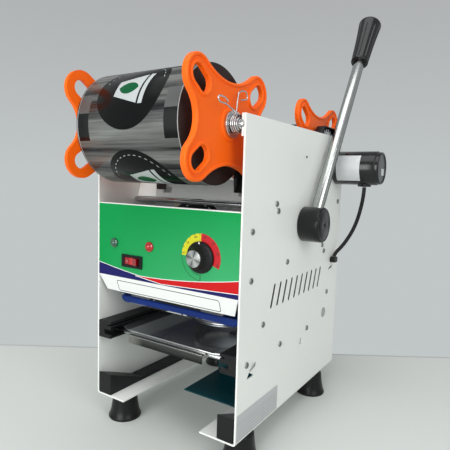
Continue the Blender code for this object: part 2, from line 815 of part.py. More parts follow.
def bent_sheet(name, path, thickness, low_x, high_x):
    """A sheet bent about X: its section follows the path in Y and Z, thickened to the left of travel."""
    offset = []
    for index, point in enumerate(path):
        here = Vector(point)
        normals = []
        if index > 0:
            step = here - Vector(path[index - 1])
            normals.append(Vector((-step.y, step.x)).normalized())
        if index < len(path) - 1:
            step = Vector(path[index + 1]) - here
            normals.append(Vector((-step.y, step.x)).normalized())
        middle = sum(normals, Vector((0, 0))).normalized()
        offset.append(here + middle * thickness / middle.dot(normals[0]))
    outline = [tuple(point) for point in path] + [tuple(point) for point in reversed(offset)]
    sheet = slab(name, [outline], high_x - low_x)
    return turn_mesh(sheet, ALONG_X, ((low_x + high_x) / 2, 0, 0))


def front_panel():
    path = ((FACE_RETURN, FACE_TOP_Z), (0, FACE_TOP_Z), (0, FACE_FOLD_Z), (STRIP_SETBACK, STRIP_BOTTOM_Z))
    panel = bent_sheet("front_panel", path, THIN_SHEET, -SEAT_X, SEAT_X)
    openings = slab("control_holes", [
        circle((KNOB_X, KNOB_Z), KNOB_SPINDLE_RADIUS + FIT_GAP),
        circle((GREEN_LAMP_X, GREEN_LAMP_Z), LAMP_STEM_RADIUS + FIT_GAP),
        circle((RED_LAMP_X, RED_LAMP_Z), LAMP_STEM_RADIUS + FIT_GAP),
        switch_body_outline(FIT_GAP),
    ], THIN_SHEET + 2 * OVERRUN)
    turn_mesh(openings, TOWARD_FRONT, (0, THIN_SHEET / 2, 0))
    tapers = [strip_taper(side) for side in (-1, 1)]
    panel = cut(panel, openings, *tapers)
    return place(panel, GREEN_PRINT, FRAME)


def strip_taper(side):
    """Cuts one end of the lower strip at a slant."""
    outline = [
        (side * (SEAT_X + OVERRUN), FACE_FOLD_Z),
        (side * SEAT_X, FACE_FOLD_Z),
        (side * (SEAT_X - STRIP_END_TAPER), STRIP_BOTTOM_Z - OVERRUN),
        (side * (SEAT_X + OVERRUN), STRIP_BOTTOM_Z - OVERRUN),
    ]
    wedge = slab("strip_taper", [outline], 2 * (STRIP_SETBACK + OVERRUN))
    return turn_mesh(wedge, TOWARD_FRONT, (0, STRIP_SETBACK / 2, 0))


def inner_deck():
    path = ((DECK_BACK_Y, DECK_HIGH_Z), (DECK_HIGH_Y, DECK_HIGH_Z), (DECK_LOW_Y, DECK_LOW_Z))
    deck = bent_sheet("inner_deck", path, THIN_SHEET, -SEAT_X, SEAT_X)
    depth = DECK_HIGH_Y - DECK_LOW_Y + THIN_SHEET + OVERRUN
    holes = []
    half_width = DECK_HOLE_WIDTH / 2
    half_height = DECK_HOLE_HEIGHT / 2
    for x in (DECK_HOLE_LEFT_X, DECK_HOLE_RIGHT_X):
        low = (x - half_width, DECK_LOW_Y - OVERRUN, DECK_HOLE_Z - half_height)
        high = (x + half_width, DECK_LOW_Y + depth, DECK_HOLE_Z + half_height)
        holes.append(box("deck_hole", low, high))
    return place(cut(deck, *holes), WHITE_PAINT, FRAME)


def guide_rod():
    item = smooth(rod("guide_rod", GUIDE_ROD_RADIUS, -SEAT_X, SEAT_X))
    return place(item, CHROME, FRAME, (0, GUIDE_ROD_Y, GUIDE_ROD_Z), ALONG_X)


def film_guide_plate():
    """Wide plate with a narrower front tongue that is folded down into a lip."""
    corner = GUIDE_PLATE_TOP_Z - GUIDE_LIP_Z - GUIDE_PLATE_THICKNESS
    bend = GUIDE_PLATE_THICKNESS / 2
    left = GUIDE_LIP_LEFT_X + bend
    right = GUIDE_LIP_RIGHT_X - bend
    wing_end = GUIDE_WING_Y + GUIDE_WING_TAPER
    outline = [
        (left, GUIDE_LIP_Y + bend), (right, GUIDE_LIP_Y + bend), (right, GUIDE_WING_Y),
        (SEAT_X, wing_end), (SEAT_X, GUIDE_PLATE_BACK_Y), (-SEAT_X, GUIDE_PLATE_BACK_Y),
        (-SEAT_X, wing_end), (left, GUIDE_WING_Y),
    ]
    hole = circle((0, HEAD_Y), GUIDE_HOLE_RADIUS, ROUND_STEPS)
    plate = slab("film_guide_plate", [outline, hole], GUIDE_PLATE_THICKNESS)
    turn_mesh(plate, FLAT, (0, 0, GUIDE_PLATE_TOP_Z - GUIDE_PLATE_THICKNESS / 2))
    lap = GUIDE_PLATE_TOP_Z - GUIDE_PLATE_THICKNESS / 2
    face = [(GUIDE_LIP_RIGHT_X, lap), (GUIDE_LIP_LEFT_X, lap)]
    center_z = GUIDE_LIP_Z + corner
    quarter_turn = math.pi / 2
    face += arc((GUIDE_LIP_LEFT_X + corner, center_z), corner, math.pi, 3 * quarter_turn, CURVE_SEGMENTS)
    face += arc((GUIDE_LIP_RIGHT_X - corner, center_z), corner, 3 * quarter_turn, math.tau, CURVE_SEGMENTS)
    lip = slab("guide_lip", [face], GUIDE_PLATE_THICKNESS)
    turn_mesh(lip, TOWARD_FRONT, (0, GUIDE_LIP_Y + GUIDE_PLATE_THICKNESS / 2, 0))
    return place(join(plate, lip), BLUE_FILM, FRAME)


def rear_cover():
    """Sheet between the side panels, folded in at its top and bottom, with a tab beside each rear edge."""
    path = (
        (REAR_COVER_Y - REAR_COVER_RETURN, REAR_COVER_LOW_Z), (REAR_COVER_Y, REAR_COVER_LOW_Z),
        (REAR_COVER_Y, REAR_COVER_HIGH_Z), (REAR_COVER_Y - REAR_COVER_RETURN, REAR_COVER_HIGH_Z),
    )
    cover = bent_sheet("rear_cover", path, THIN_SHEET, -SEAT_X, SEAT_X)
    inlet = (INLET_X, INLET_Z)
    opening = slab("inlet_cutter", [inlet_outline(inlet, FIT_GAP)], THIN_SHEET + 2 * OVERRUN)
    turn_mesh(opening, TOWARD_FRONT, (0, REAR_COVER_Y - THIN_SHEET / 2, 0))
    tabs = [rear_tab(side) for side in (-1, 1)]
    return place(join(cut(cover, opening), *tabs), WHITE_PAINT, FRAME)


def rear_tab(side):
    """Small upright tab on the cover beside one panel's rear edge."""
    outer = side * (SEAT_X - THIN_SHEET / 2)
    inner = side * (SEAT_X - 3 * THIN_SHEET / 2)
    low = (min(outer, inner), REAR_COVER_Y - THIN_SHEET / 2, REAR_TAB_LOW_Z)
    high = (max(outer, inner), REAR_COVER_Y + REAR_TAB_REACH, REAR_TAB_HIGH_Z)
    return box("rear_tab", low, high)


def inlet_outline(center, growth):
    x, z = center
    half_width = INLET_WIDTH / 2 - INLET_RIM + growth
    half_height = INLET_HEIGHT / 2 - INLET_RIM + growth
    corners = rectangle(-half_width, -half_height, half_width, half_height)
    return [(x + across, z + up) for across, up in corners]


def power_inlet():
    """Flanged socket in the rear cover with its three pins; the cord plugs in from behind."""
    rim_y = REAR_COVER_Y + FIT_GAP
    back_y = rim_y + INLET_RIM_DEPTH
    front_y = rim_y - INLET_BODY
    half_width = INLET_WIDTH / 2 - INLET_RIM
    half_height = INLET_HEIGHT / 2 - INLET_RIM
    rim = centred_box("power_inlet", INLET_WIDTH / 2, INLET_HEIGHT / 2, rim_y, back_y)
    body = centred_box("inlet_body", half_width, half_height, front_y, back_y - INLET_RIM_DEPTH / 2)
    floor_y = front_y + INLET_FLOOR
    well_width = half_width - INLET_WALL
    well = centred_box("inlet_well", well_width, half_height - INLET_WALL, floor_y, back_y + OVERRUN)
    socket = cut(join(rim, body), well)
    pins = []
    pin_start = floor_y - INLET_FLOOR / 2
    pin_end = floor_y + INLET_PIN_LENGTH
    for index in (-1, 0, 1):
        pin = centred_box("inlet_pin", INLET_PIN_WIDTH / 2, INLET_PIN_HEIGHT / 2, pin_start, pin_end)
        pins.append(turn_mesh(pin, FLAT, (index * INLET_PIN_PITCH, 0, 0)))
    return place(join(socket, *pins), BLACK_PLASTIC, FRAME, (INLET_X, 0, INLET_Z))


def lower_shelf():
    """Bent shelf at the right: deck, riser at its back and a side edge that hangs on the panel."""
    path = ((SHELF_FRONT_Y, SHELF_TOP_Z), (SHELF_BACK_Y, SHELF_TOP_Z), (SHELF_BACK_Y, SHELF_RISER_Z))
    lap = THIN_SHEET / 2
    shelf = bent_sheet("lower_shelf", path, THIN_SHEET, SHELF_LEFT_X, SEAT_X - lap)
    low = (SEAT_X - THIN_SHEET, SHELF_FRONT_Y + THIN_SHEET, SHELF_TOP_Z + lap)
    side = box("shelf_side", low, (SEAT_X, SHELF_BACK_Y - lap, SHELF_SIDE_Z))
    return place(join(shelf, side), TEAL_FILM, FRAME)


def foot(name, x, y):
    """Flared rubber foot with a hollow for its screw."""
    waist = FOOT_TOP_RADIUS + (FOOT_BOTTOM_RADIUS - FOOT_TOP_RADIUS) * (1 - FOOT_WAIST_SHARE)
    profile = [(0, 0), (FOOT_TOP_RADIUS, 0), (waist, -FOOT_HEIGHT * FOOT_WAIST_SHARE)]
    center = (FOOT_BOTTOM_RADIUS - FOOT_EDGE, FOOT_EDGE - FOOT_HEIGHT)
    profile += arc(center, FOOT_EDGE, math.pi / 6, -math.pi / 2, EDGE_SEGMENTS)
    bore_top = FOOT_BORE_DEPTH - FOOT_HEIGHT
    profile += [(FOOT_BORE_RADIUS, -FOOT_HEIGHT), (FOOT_BORE_RADIUS, bore_top), (0, bore_top)]
    item = smooth(turned(name, profile, BOSS_STEPS))
    return place(item, BLACK_RUBBER, FRAME, (x, y, -FIT_GAP))


# Control pieces

def thermostat_knob():
    """Fluted knob with a raised cap; its spindle goes through the panel."""
    profile = (
        (0, KNOB_HEIGHT), (KNOB_CAP_RADIUS, KNOB_HEIGHT), (KNOB_CAP_RADIUS, KNOB_SHOULDER),
        (KNOB_SHOULDER_RADIUS, KNOB_SHOULDER), (KNOB_RADIUS, KNOB_SKIRT_EDGE), (KNOB_RADIUS, 0),
        (KNOB_SPINDLE_RADIUS, 0), (KNOB_SPINDLE_RADIUS, -KNOB_SPINDLE_LENGTH), (0, -KNOB_SPINDLE_LENGTH),
    )
    knob = turned("thermostat_knob", profile, ROUND_STEPS)
    grips = []
    for index in range(KNOB_GRIPS):
        angle = (index + 1 / 2) * math.tau / KNOB_GRIPS
        reach = KNOB_SHOULDER_RADIUS + KNOB_GRIP_RADIUS
        grip = rod("knob_grip", KNOB_GRIP_RADIUS, KNOB_SKIRT_EDGE, KNOB_SHOULDER + OVERRUN, TINY_STEPS)
        grips.append(turn_mesh(grip, FLAT, (reach * math.cos(angle), reach * math.sin(angle), 0)))
    knob = smooth(cut(knob, *grips))
    return place(knob, BLACK_PLASTIC, KNOB_PIVOT, (KNOB_X, -FIT_GAP, KNOB_Z), TOWARD_FRONT)


def lamp(name, finish, x, z):
    """Rimmed lens in front of the panel on a stem through it."""
    dome = arc((0, LAMP_RIM), LAMP_STEM_RADIUS, math.pi / 2, 0, CURVE_SEGMENTS)
    rise = LAMP_DOME / LAMP_STEM_RADIUS
    profile = [(abs(radius), LAMP_RIM + (height - LAMP_RIM) * rise) for radius, height in dome]
    profile[0] = (0, profile[0][1])
    profile += [(LAMP_RADIUS, LAMP_RIM), (LAMP_RADIUS, 0)]
    profile += [(LAMP_STEM_RADIUS, 0), (LAMP_STEM_RADIUS, -LAMP_STEM), (0, -LAMP_STEM)]
    item = smooth(turned(name, profile, SMALL_STEPS))
    return place(item, finish, FRAME, (x, -FIT_GAP, z), TOWARD_FRONT)


def switch_body_outline(growth):
    half_width = SWITCH_WIDTH / 2 - SWITCH_LIP + growth
    half_height = SWITCH_HEIGHT / 2 - SWITCH_LIP / 2 + growth
    corners = rectangle(-half_width, -half_height, half_width, half_height)
    return [(SWITCH_X + x, SWITCH_Z + z) for x, z in corners]


def rocker_bezel():
    """Rim in front of the panel and a body behind it, with a well that the rocker tilts in."""
    width = SWITCH_WIDTH / 2 - SWITCH_LIP
    height = SWITCH_HEIGHT / 2 - SWITCH_LIP / 2
    front_y = -FIT_GAP - SWITCH_RIM
    floor_y = SWITCH_BODY_DEPTH - SWITCH_RIM
    bezel = centred_box("rocker_bezel", SWITCH_WIDTH / 2, SWITCH_HEIGHT / 2, front_y, -FIT_GAP)
    body = centred_box("switch_body", width, height, front_y + SWITCH_RIM / 2, SWITCH_BODY_DEPTH)
    well = centred_box("switch_well", width - SWITCH_RIM, height - SWITCH_RIM, front_y - OVERRUN, floor_y)
    return place(cut(join(bezel, body), well), BLACK_PLASTIC, FRAME, (SWITCH_X, 0, SWITCH_Z))


def power_rocker():
    """Rocker with a shallow V face, turned to one side about its upright pivot."""
    swing = ROCKER_RISE * math.sin(ROCKER_TILT)
    half_width = SWITCH_WIDTH / 2 - SWITCH_LIP - SWITCH_RIM - 2 * FIT_GAP - swing
    half_height = SWITCH_HEIGHT / 2 - SWITCH_LIP / 2 - SWITCH_RIM - FIT_GAP
    low = half_width - ROCKER_BELOW
    outline = [(-half_width, -ROCKER_RISE), (0, -ROCKER_DIP), (half_width, -ROCKER_RISE)]
    outline += [(low, ROCKER_BELOW), (-low, ROCKER_BELOW)]
    rocker = slab("power_rocker", [outline], 2 * half_height)
    axis = (SWITCH_X, ROCKER_PIVOT_DEPTH, SWITCH_Z)
    return place(rocker, LAMP_RED, ROCKER_PIVOT, axis, (0, 0, -ROCKER_TILT))


# Rails and tray

def tray_rail(name, side):
    """Bar on the side panel with a slit over a roller groove, whose cap lets only the front axle pass."""
    low = (RAIL_INNER_X, 0, RAIL_BOTTOM_Z)
    bar = box(name, low, (SEAT_X, RAIL_LENGTH, RAIL_TOP_Z))
    groove = groove_cutter(AXLE_Z, ROLLER_RADIUS + FIT_GAP, GROOVE_DEPTH, RAIL_CAP, RAIL_LENGTH - RAIL_CAP)
    passage = groove_cutter(AXLE_Z, AXLE_RADIUS + 2 * FIT_GAP, GROOVE_DEPTH, -OVERRUN, RAIL_CAP + OVERRUN)
    slit = groove_cutter(SLIT_Z, SLIT_HALF_HEIGHT, SLIT_DEPTH, -OVERRUN, RAIL_LENGTH + OVERRUN)
    bar = cut(bar, groove, passage, slit)
    if side < 0:
        mirror_mesh(bar)
    return place(bar, BLACK_PAINT, FRAME)


def groove_cutter(z, half_height, depth, front_y, back_y):
    low = (RAIL_INNER_X - OVERRUN, front_y, z - half_height)
    return box("groove", low, (RAIL_INNER_X + depth, back_y, z + half_height))


def mirror_mesh(item):
    """Mirrors a mesh about the machine's mid-plane and turns its faces out again."""
    form = bmesh.new()
    form.from_mesh(item.data)
    bmesh.ops.scale(form, vec=(-1, 1, 1), verts=form.verts)
    bmesh.ops.reverse_faces(form, faces=form.faces)
    form.to_mesh(item.data)
    form.free()
    return item


def ramp_rail(name, side):
    bottom = SHEET + FIT_GAP
    outline = [(0, bottom), (RAIL_LENGTH, bottom), (RAIL_LENGTH, RAMP_LOW_Z)]
    outline += [(RAMP_LENGTH, RAMP_LOW_Z), (0, RAMP_FRONT_Z)]
    bar = slab(name, [outline], RAMP_WIDTH)
    turn_mesh(bar, ALONG_X, (side * (SEAT_X - BEND_RADIUS + SHEET - RAMP_WIDTH / 2), 0, 0))
    return place(bar, BLACK_PAINT, FRAME)


def tray_plate():
    right = TRAY_HALF_WIDTH
    outline = [
        (-right + TRAY_CHAMFER_X, TRAY_FRONT_Y), (right - TRAY_CHAMFER_X, TRAY_FRONT_Y),
        (right, TRAY_FRONT_Y + TRAY_CHAMFER_Y), (right, TRAY_BACK_Y), (-right, TRAY_BACK_Y),
        (-right, TRAY_FRONT_Y + TRAY_CHAMFER_Y),
    ]
    hole = circle((0, HEAD_Y), CUP_RADIUS + CUP_RING_WALL + FIT_GAP, ROUND_STEPS)
    plate = slab("tray_plate", [outline, hole], TRAY_THICKNESS)
    turn_mesh(plate, FLAT, (0, 0, TRAY_TOP_Z - TRAY_THICKNESS / 2))
    return place(plate, DARK_MIRROR, TRAY_PIVOT)


def tray_handle():
    """L-shaped pull under the tray's front edge."""
    top = TRAY_TOP_Z - TRAY_THICKNESS - FIT_GAP
    path = ((HANDLE_BACK_Y, top), (HANDLE_FACE_Y, top), (HANDLE_FACE_Y, HANDLE_BOTTOM_Z))
    pull = bent_sheet("tray_handle", path, THIN_SHEET, -HANDLE_HALF_WIDTH, HANDLE_HALF_WIDTH)
    return place(pull, ALUMINIUM, TRAY_PIVOT)


def tray_axle(name, y, roller):
    """Cross rod under the tray; the rear one has rollers, the front one runs bare in the groove."""
    reach = RAIL_INNER_X + GROOVE_DEPTH - AXLE_END_CLEARANCE
    inner = reach - ROLLER_WIDTH
    if roller:
        half = [(0, reach), (ROLLER_RADIUS, reach), (ROLLER_RADIUS, inner), (AXLE_RADIUS, inner)]
    else:
        half = [(0, reach), (AXLE_RADIUS, reach)]
    profile = half + [(radius, -height) for radius, height in reversed(half)]
    item = smooth(turned(name, profile, SMALL_STEPS))
    return place(item, CHROME, TRAY_PIVOT, (0, y, AXLE_Z), ALONG_X)


def cup_ring():
    """Stepped ring in the tray's hole that carries the cup by its rim."""
    body = CUP_RADIUS + CUP_RING_WALL
    flange = body + CUP_RING_FLANGE
    profile = (
        (CUP_RADIUS, CUP_RING_RISE), (flange, CUP_RING_RISE), (flange, 0),
        (body, 0), (body, -CUP_RING_DROP), (CUP_RADIUS, -CUP_RING_DROP),
    )
    item = smooth(turned("cup_ring", profile, ROUND_STEPS, closed=True))
    return place(item, ALUMINIUM, TRAY_PIVOT, (0, HEAD_Y, TRAY_TOP_Z + FIT_GAP))


# Lever and press

def press_shaft():
    right = HUB_LEFT_X + HUB_BORE_DEPTH - FIT_GAP
    item = smooth(rod("press_shaft", SHAFT_RADIUS, -HALF_WIDTH, right, SHAFT_STEPS))
    return place(item, STEEL, LEVER_PIVOT, (0, SHAFT_Y, SHAFT_Z), ALONG_X)


def shaft_bush(name, side):
    """Flanged bush in the side panel's hole."""
    inner = SHAFT_RADIUS + FIT_GAP
    flange = BUSH_RADIUS + BUSH_FLANGE
    face = SEAT_X - BUSH_FLANGE_THICKNESS
    outer_end = HALF_WIDTH - FIT_GAP
    profile = (
        (BUSH_RADIUS, outer_end), (BUSH_RADIUS, SEAT_X), (flange, SEAT_X),
        (flange, face), (inner, face), (inner, outer_end),
    )
    item = smooth(turned(name, profile, SMALL_STEPS, closed=True))
    turn = ALONG_X if side > 0 else ALONG_MINUS_X
    return place(item, BRASS, FRAME, (0, SHAFT_Y, SHAFT_Z), turn)


def lever_hub():
    """Round black boss on the shaft's end with a socket for the lever rod."""
    bore = SHAFT_RADIUS + FIT_GAP
    edge = arc((HUB_RADIUS - HUB_EDGE, HUB_WIDTH - HUB_EDGE), HUB_EDGE, math.pi / 2, 0, CURVE_SEGMENTS)
    profile = [(0, HUB_WIDTH - HUB_DIMPLE), (HUB_DIMPLE_RADIUS, HUB_WIDTH)] + edge
    profile += [(HUB_RADIUS, 0), (bore, 0), (bore, HUB_BORE_DEPTH), (0, HUB_BORE_DEPTH)]
    hub = turned("lever_hub", profile, ROUND_STEPS)
    socket = rod("rod_socket", ROD_RADIUS + FIT_GAP, ROD_SOCKET_RADIUS, HUB_RADIUS + OVERRUN)
    # In the hub's frame local Y points up in the machine and local X points back
    turn_mesh(socket, (-math.pi / 2, 0, -LEVER_LEAN), (0, 0, ROD_INSET))
    hub = smooth(cut(hub, socket))
    return place(hub, BLACK_PLASTIC, LEVER_PIVOT, (HUB_LEFT_X, SHAFT_Y, SHAFT_Z), ALONG_X)


def lever_rod():
    start = ROD_SOCKET_RADIUS + FIT_GAP
    end = GRIP_START + GRIP_BORE - FIT_GAP
    item = smooth(rod("lever_rod", ROD_RADIUS, start, end, SHAFT_STEPS))
    return place(item, CHROME, LEVER_PIVOT, (LEVER_X, SHAFT_Y, SHAFT_Z), (-LEVER_LEAN, 0, 0))


def lever_grip():
    """Tapered handgrip with a low crown, flutes along it and a blind bore for the rod."""
    bore = ROD_RADIUS + FIT_GAP
    rim = (GRIP_RIM_RADIUS, GRIP_SHOULDER)
    profile = [(0, GRIP_END)] + arc(rim, GRIP_TOP_EDGE, math.pi / 2, 0, EDGE_SEGMENTS) + [
        (GRIP_LOW_RADIUS, GRIP_START + GRIP_EDGE), (GRIP_LOW_RADIUS - GRIP_EDGE, GRIP_START),
        (bore, GRIP_START), (bore, GRIP_START + GRIP_BORE), (0, GRIP_START + GRIP_BORE),
    ]
    grip = turned("lever_grip", profile, BOSS_STEPS)
    slope = math.atan2(GRIP_HIGH_RADIUS - GRIP_LOW_RADIUS, GRIP_SHOULDER - GRIP_START)
    reach = GRIP_LOW_RADIUS + GRIP_FLUTE_RADIUS - GRIP_FLUTE_DEPTH
    flutes = []
    for index in range(GRIP_FLUTES):
        flute = rod("grip_flute", GRIP_FLUTE_RADIUS, 2 * GRIP_EDGE, GRIP_SHOULDER - GRIP_START, FLUTE_STEPS)
        turn_mesh(flute, (0, slope, 0), (reach, 0, GRIP_START))
        flutes.append(turn_mesh(flute, (0, 0, index * math.tau / GRIP_FLUTES)))
    grip = smooth(cut(grip, *flutes))
    return place(grip, BLACK_PLASTIC, LEVER_PIVOT, (LEVER_X, SHAFT_Y, SHAFT_Z), (-LEVER_LEAN, 0, 0))


def press_pinion():
    """Gear on the press shaft; a tooth gap faces the rack when the lever is up."""
    outline = gear_outline(PINION_TEETH, PINION_RADIUS)
    gear = slab("press_pinion", [outline, circle((0, 0), SHAFT_RADIUS + FIT_GAP, SHAFT_STEPS)], PINION_WIDTH)
    turn_mesh(gear, (0, 0, math.pi / PINION_TEETH))
    return place(gear, STEEL, LEVER_PIVOT, (0, SHAFT_Y, SHAFT_Z), ALONG_X)


def head_rack():
    """Toothed bar that stands on the carriage in front of the pinion."""
    pitch = math.pi * PINION_MODULE
    line = SHAFT_Y - PINION_RADIUS
    tip = line + TOOTH_RISE_SHARE * PINION_MODULE
    root = line - TOOTH_DIP_SHARE * PINION_MODULE
    first = SHAFT_Z - math.floor((SHAFT_Z - CARRIAGE_TOP_Z - RACK_BLANK) / pitch) * pitch
    last = first + (RACK_TEETH - 1) * pitch
    top = last + pitch / 2
    bottom = CARRIAGE_TOP_Z + FIT_GAP
    outline = [(root, top), (root - RACK_BACK, top), (root - RACK_BACK, bottom), (root, bottom)]
    for index in range(RACK_TEETH):
        for y, share in tooth_corners(root, tip):
            outline.append((y, first + (index + share / 2) * pitch))
    rack = slab("head_rack", [outline], PINION_WIDTH)
    turn_mesh(rack, ALONG_X)
    return place(rack, STEEL, HEAD_PIVOT)


def head_carriage():
    """Plate that slides on the two guide columns and carries the heater."""
    low = (-CARRIAGE_HALF_WIDTH, CARRIAGE_FRONT_Y)
    high = (CARRIAGE_HALF_WIDTH, CARRIAGE_BACK_Y)
    outline = rounded_rectangle(*low, *high, CARRIAGE_CORNER)
    bore = COLUMN_RADIUS + COLUMN_CLEARANCE
    holes = [circle((side * COLUMN_X, COLUMN_Y), bore) for side in (-1, 1)]
    plate = slab("head_carriage", [outline] + holes, CARRIAGE_THICKNESS)
    turn_mesh(plate, FLAT, (0, 0, (CARRIAGE_BOTTOM_Z + CARRIAGE_TOP_Z) / 2))
    return place(plate, ALUMINIUM, HEAD_PIVOT)


def heater_block():
    """Heated die: flange under the carriage, neck and flat-faced block."""
    top = CARRIAGE_BOTTOM_Z - FIT_GAP
    block_top = HEAD_BOTTOM_Z + HEATER_HEIGHT
    profile = (
        (0, top), (HEATER_FLANGE_RADIUS, top), (HEATER_FLANGE_RADIUS, top - HEATER_FLANGE),
        (HEATER_NECK_RADIUS, top - HEATER_FLANGE), (HEATER_NECK_RADIUS, block_top),
        (HEATER_RADIUS, block_top), (HEATER_RADIUS, HEAD_BOTTOM_Z), (0, HEAD_BOTTOM_Z),
    )
    item = smooth(turned("heater_block", profile, ROUND_STEPS))
    return place(item, ALUMINIUM, HEAD_PIVOT, (0, HEAD_Y, 0))


def cutter_ring():
    """Thin ring round the heater whose lower edge is drawn into teeth."""
    inner = HEATER_RADIUS + FIT_GAP
    top = HEAD_BOTTOM_Z + CUTTER_HEIGHT
    knife = ring("cutter_ring", inner + CUTTER_WALL, inner, HEAD_BOTTOM_Z, top, 2 * CUTTER_TEETH)
    for vertex in knife.data.vertices:
        step = round(math.atan2(vertex.co.y, vertex.co.x) * CUTTER_TEETH / math.pi)
        if vertex.co.z < (HEAD_BOTTOM_Z + top) / 2 and step % 2:
            vertex.co.z += CUTTER_TOOTH
    return place(smooth(knife), STEEL, HEAD_PIVOT, (0, HEAD_Y, 0))


def guide_column(name, side):
    low = GUIDE_PLATE_TOP_Z + FIT_GAP
    high = BRIDGE_BOTTOM_Z - FIT_GAP
    item = smooth(rod(name, COLUMN_RADIUS, low, high, SHAFT_STEPS))
    return place(item, CHROME, FRAME, (side * COLUMN_X, COLUMN_Y, 0))


def column_bridge():
    """Cross plate over the columns with a notch for the rack."""
    notch = PINION_WIDTH / 2 + OVERRUN
    rack_back = SHAFT_Y - PINION_RADIUS + TOOTH_RISE_SHARE * PINION_MODULE + OVERRUN
    outline = [
        (-SEAT_X, BRIDGE_FRONT_Y), (-notch, BRIDGE_FRONT_Y), (-notch, rack_back), (notch, rack_back),
        (notch, BRIDGE_FRONT_Y), (SEAT_X, BRIDGE_FRONT_Y), (SEAT_X, BRIDGE_BACK_Y), (-SEAT_X, BRIDGE_BACK_Y),
    ]
    plate = slab("column_bridge", [outline], BRIDGE_THICKNESS)
    turn_mesh(plate, FLAT, (0, 0, BRIDGE_BOTTOM_Z + BRIDGE_THICKNESS / 2))
    return place(plate, STEEL, FRAME)


def return_spring(name, side):
    """Pull spring between the bridge and the carriage, one unbroken coil."""
    top = BRIDGE_BOTTOM_Z - FIT_GAP
    bottom = CARRIAGE_TOP_Z + FIT_GAP
    points = coil_points(bottom, top)
    item = smooth(wire(name, points, SPRING_WIRE_RADIUS))
    return place(item, STEEL, SPRING_PIVOT, (side * SPRING_X, SPRING_Y, 0))


def coil_points(low, high):
    """A helix whose ends run straight up and down for one wire diameter."""
    lead = 2 * SPRING_WIRE_RADIUS
    rise = high - low - 2 * lead
    count = SPRING_CURLS * SPRING_CURL_POINTS
    points = [(SPRING_RADIUS, 0, low)]
    for index in range(count + 1):
        angle = math.tau * index / SPRING_CURL_POINTS
        height = low + lead + rise * index / count
        points.append((SPRING_RADIUS * math.cos(angle), SPRING_RADIUS * math.sin(angle), height))
    points.append((SPRING_RADIUS, 0, high))
    print("coil gap to itself, mm:", round(1000 * (rise / SPRING_CURLS - lead), 2))
    return points


# Reels

def supply_shaft():
    """Turned shaft whose thin journals run in the side brackets."""
    step = BRACKET_X - FIT_GAP
    half = [(0, SEAT_X), (JOURNAL_RADIUS, SEAT_X), (JOURNAL_RADIUS, step), (REEL_SHAFT_RADIUS, step)]
    profile = half + [(radius, -height) for radius, height in reversed(half)]
    item = smooth(turned("supply_shaft", profile, SMALL_STEPS))
    return place(item, CHROME, SUPPLY_PIVOT, (0, SUPPLY_Y, SUPPLY_Z), ALONG_X)


def film_reel(name, radius, y, z, pivot):
    item = smooth(ring(name, radius, CORE_RADIUS, FILM_LEFT_X, FILM_RIGHT_X, FINE_STEPS))
    return place(item, FILM_BLACK, pivot, (0, y, z), ALONG_X)


def star_plate(name, x, y, z, side, pivot):
    """Four-lobed plate with raised beads on its outer face and a plug that centres the film's core."""
    plate = slab(name, [star_outline(0)] + star_slots(0), STAR_RIM)
    hub = circle((0, 0), STAR_HUB_RADIUS)
    pocket_depth = STAR_RIM - STAR_PLATE
    loops = [star_outline(STAR_BEAD), hub] + star_slots(STAR_BEAD)
    pocket = slab("star_pocket", loops, pocket_depth + OVERRUN)
    turn_mesh(pocket, FLAT, (0, 0, (STAR_RIM - pocket_depth + OVERRUN) / 2))
    bore = rod("star_bore", REEL_SHAFT_RADIUS + FIT_GAP, -STAR_RIM, STAR_RIM)
    roll_end = (FILM_RIGHT_X if side > 0 else -FILM_LEFT_X) - abs(x)
    star = smooth(join(cut(plate, pocket, bore), star_plug(roll_end)))
    turn = ALONG_X if side > 0 else ALONG_MINUS_X
    return place(star, ORANGE, pivot, (x, y, z), turn)


def star_plug(roll_end):
    """Tube on a star plate's inner face; where the roll ends farther in, a shoulder reaches it."""
    face = -STAR_RIM / 2
    lap = face + STAR_PLATE / 2
    shoulder_end = roll_end + FIT_GAP
    plug = CORE_RADIUS - FIT_GAP
    inner = plug - STAR_PLUG_WALL
    plug_end = shoulder_end - STAR_PLUG_DEPTH
    profile = [(plug, plug_end), (inner, plug_end), (inner, lap)]
    if face - shoulder_end > FIT_GAP:
        shoulder = plug + STAR_PLUG_WALL
        profile = [(shoulder, lap), (shoulder, shoulder_end), (plug, shoulder_end)] + profile
    else:
        profile = [(plug, lap)] + profile
    return turned("star_plug", profile, BOSS_STEPS, closed=True)


def shaft_collar():
    """Flanged chrome collar outside the supply reel's right star plate."""
    left = STAR_RIGHT_X + STAR_RIM / 2 + FIT_GAP
    bore = REEL_SHAFT_RADIUS + FIT_GAP
    profile = (
        (COLLAR_HUB_RADIUS, left + COLLAR_LENGTH), (COLLAR_HUB_RADIUS, left + COLLAR_FLANGE),
        (COLLAR_RADIUS, left + COLLAR_FLANGE), (COLLAR_RADIUS, left),
        (bore, left), (bore, left + COLLAR_LENGTH),
    )
    item = smooth(turned("shaft_collar", profile, BOSS_STEPS, closed=True))
    return place(item, CHROME, SUPPLY_PIVOT, (0, SUPPLY_Y, SUPPLY_Z), ALONG_X)


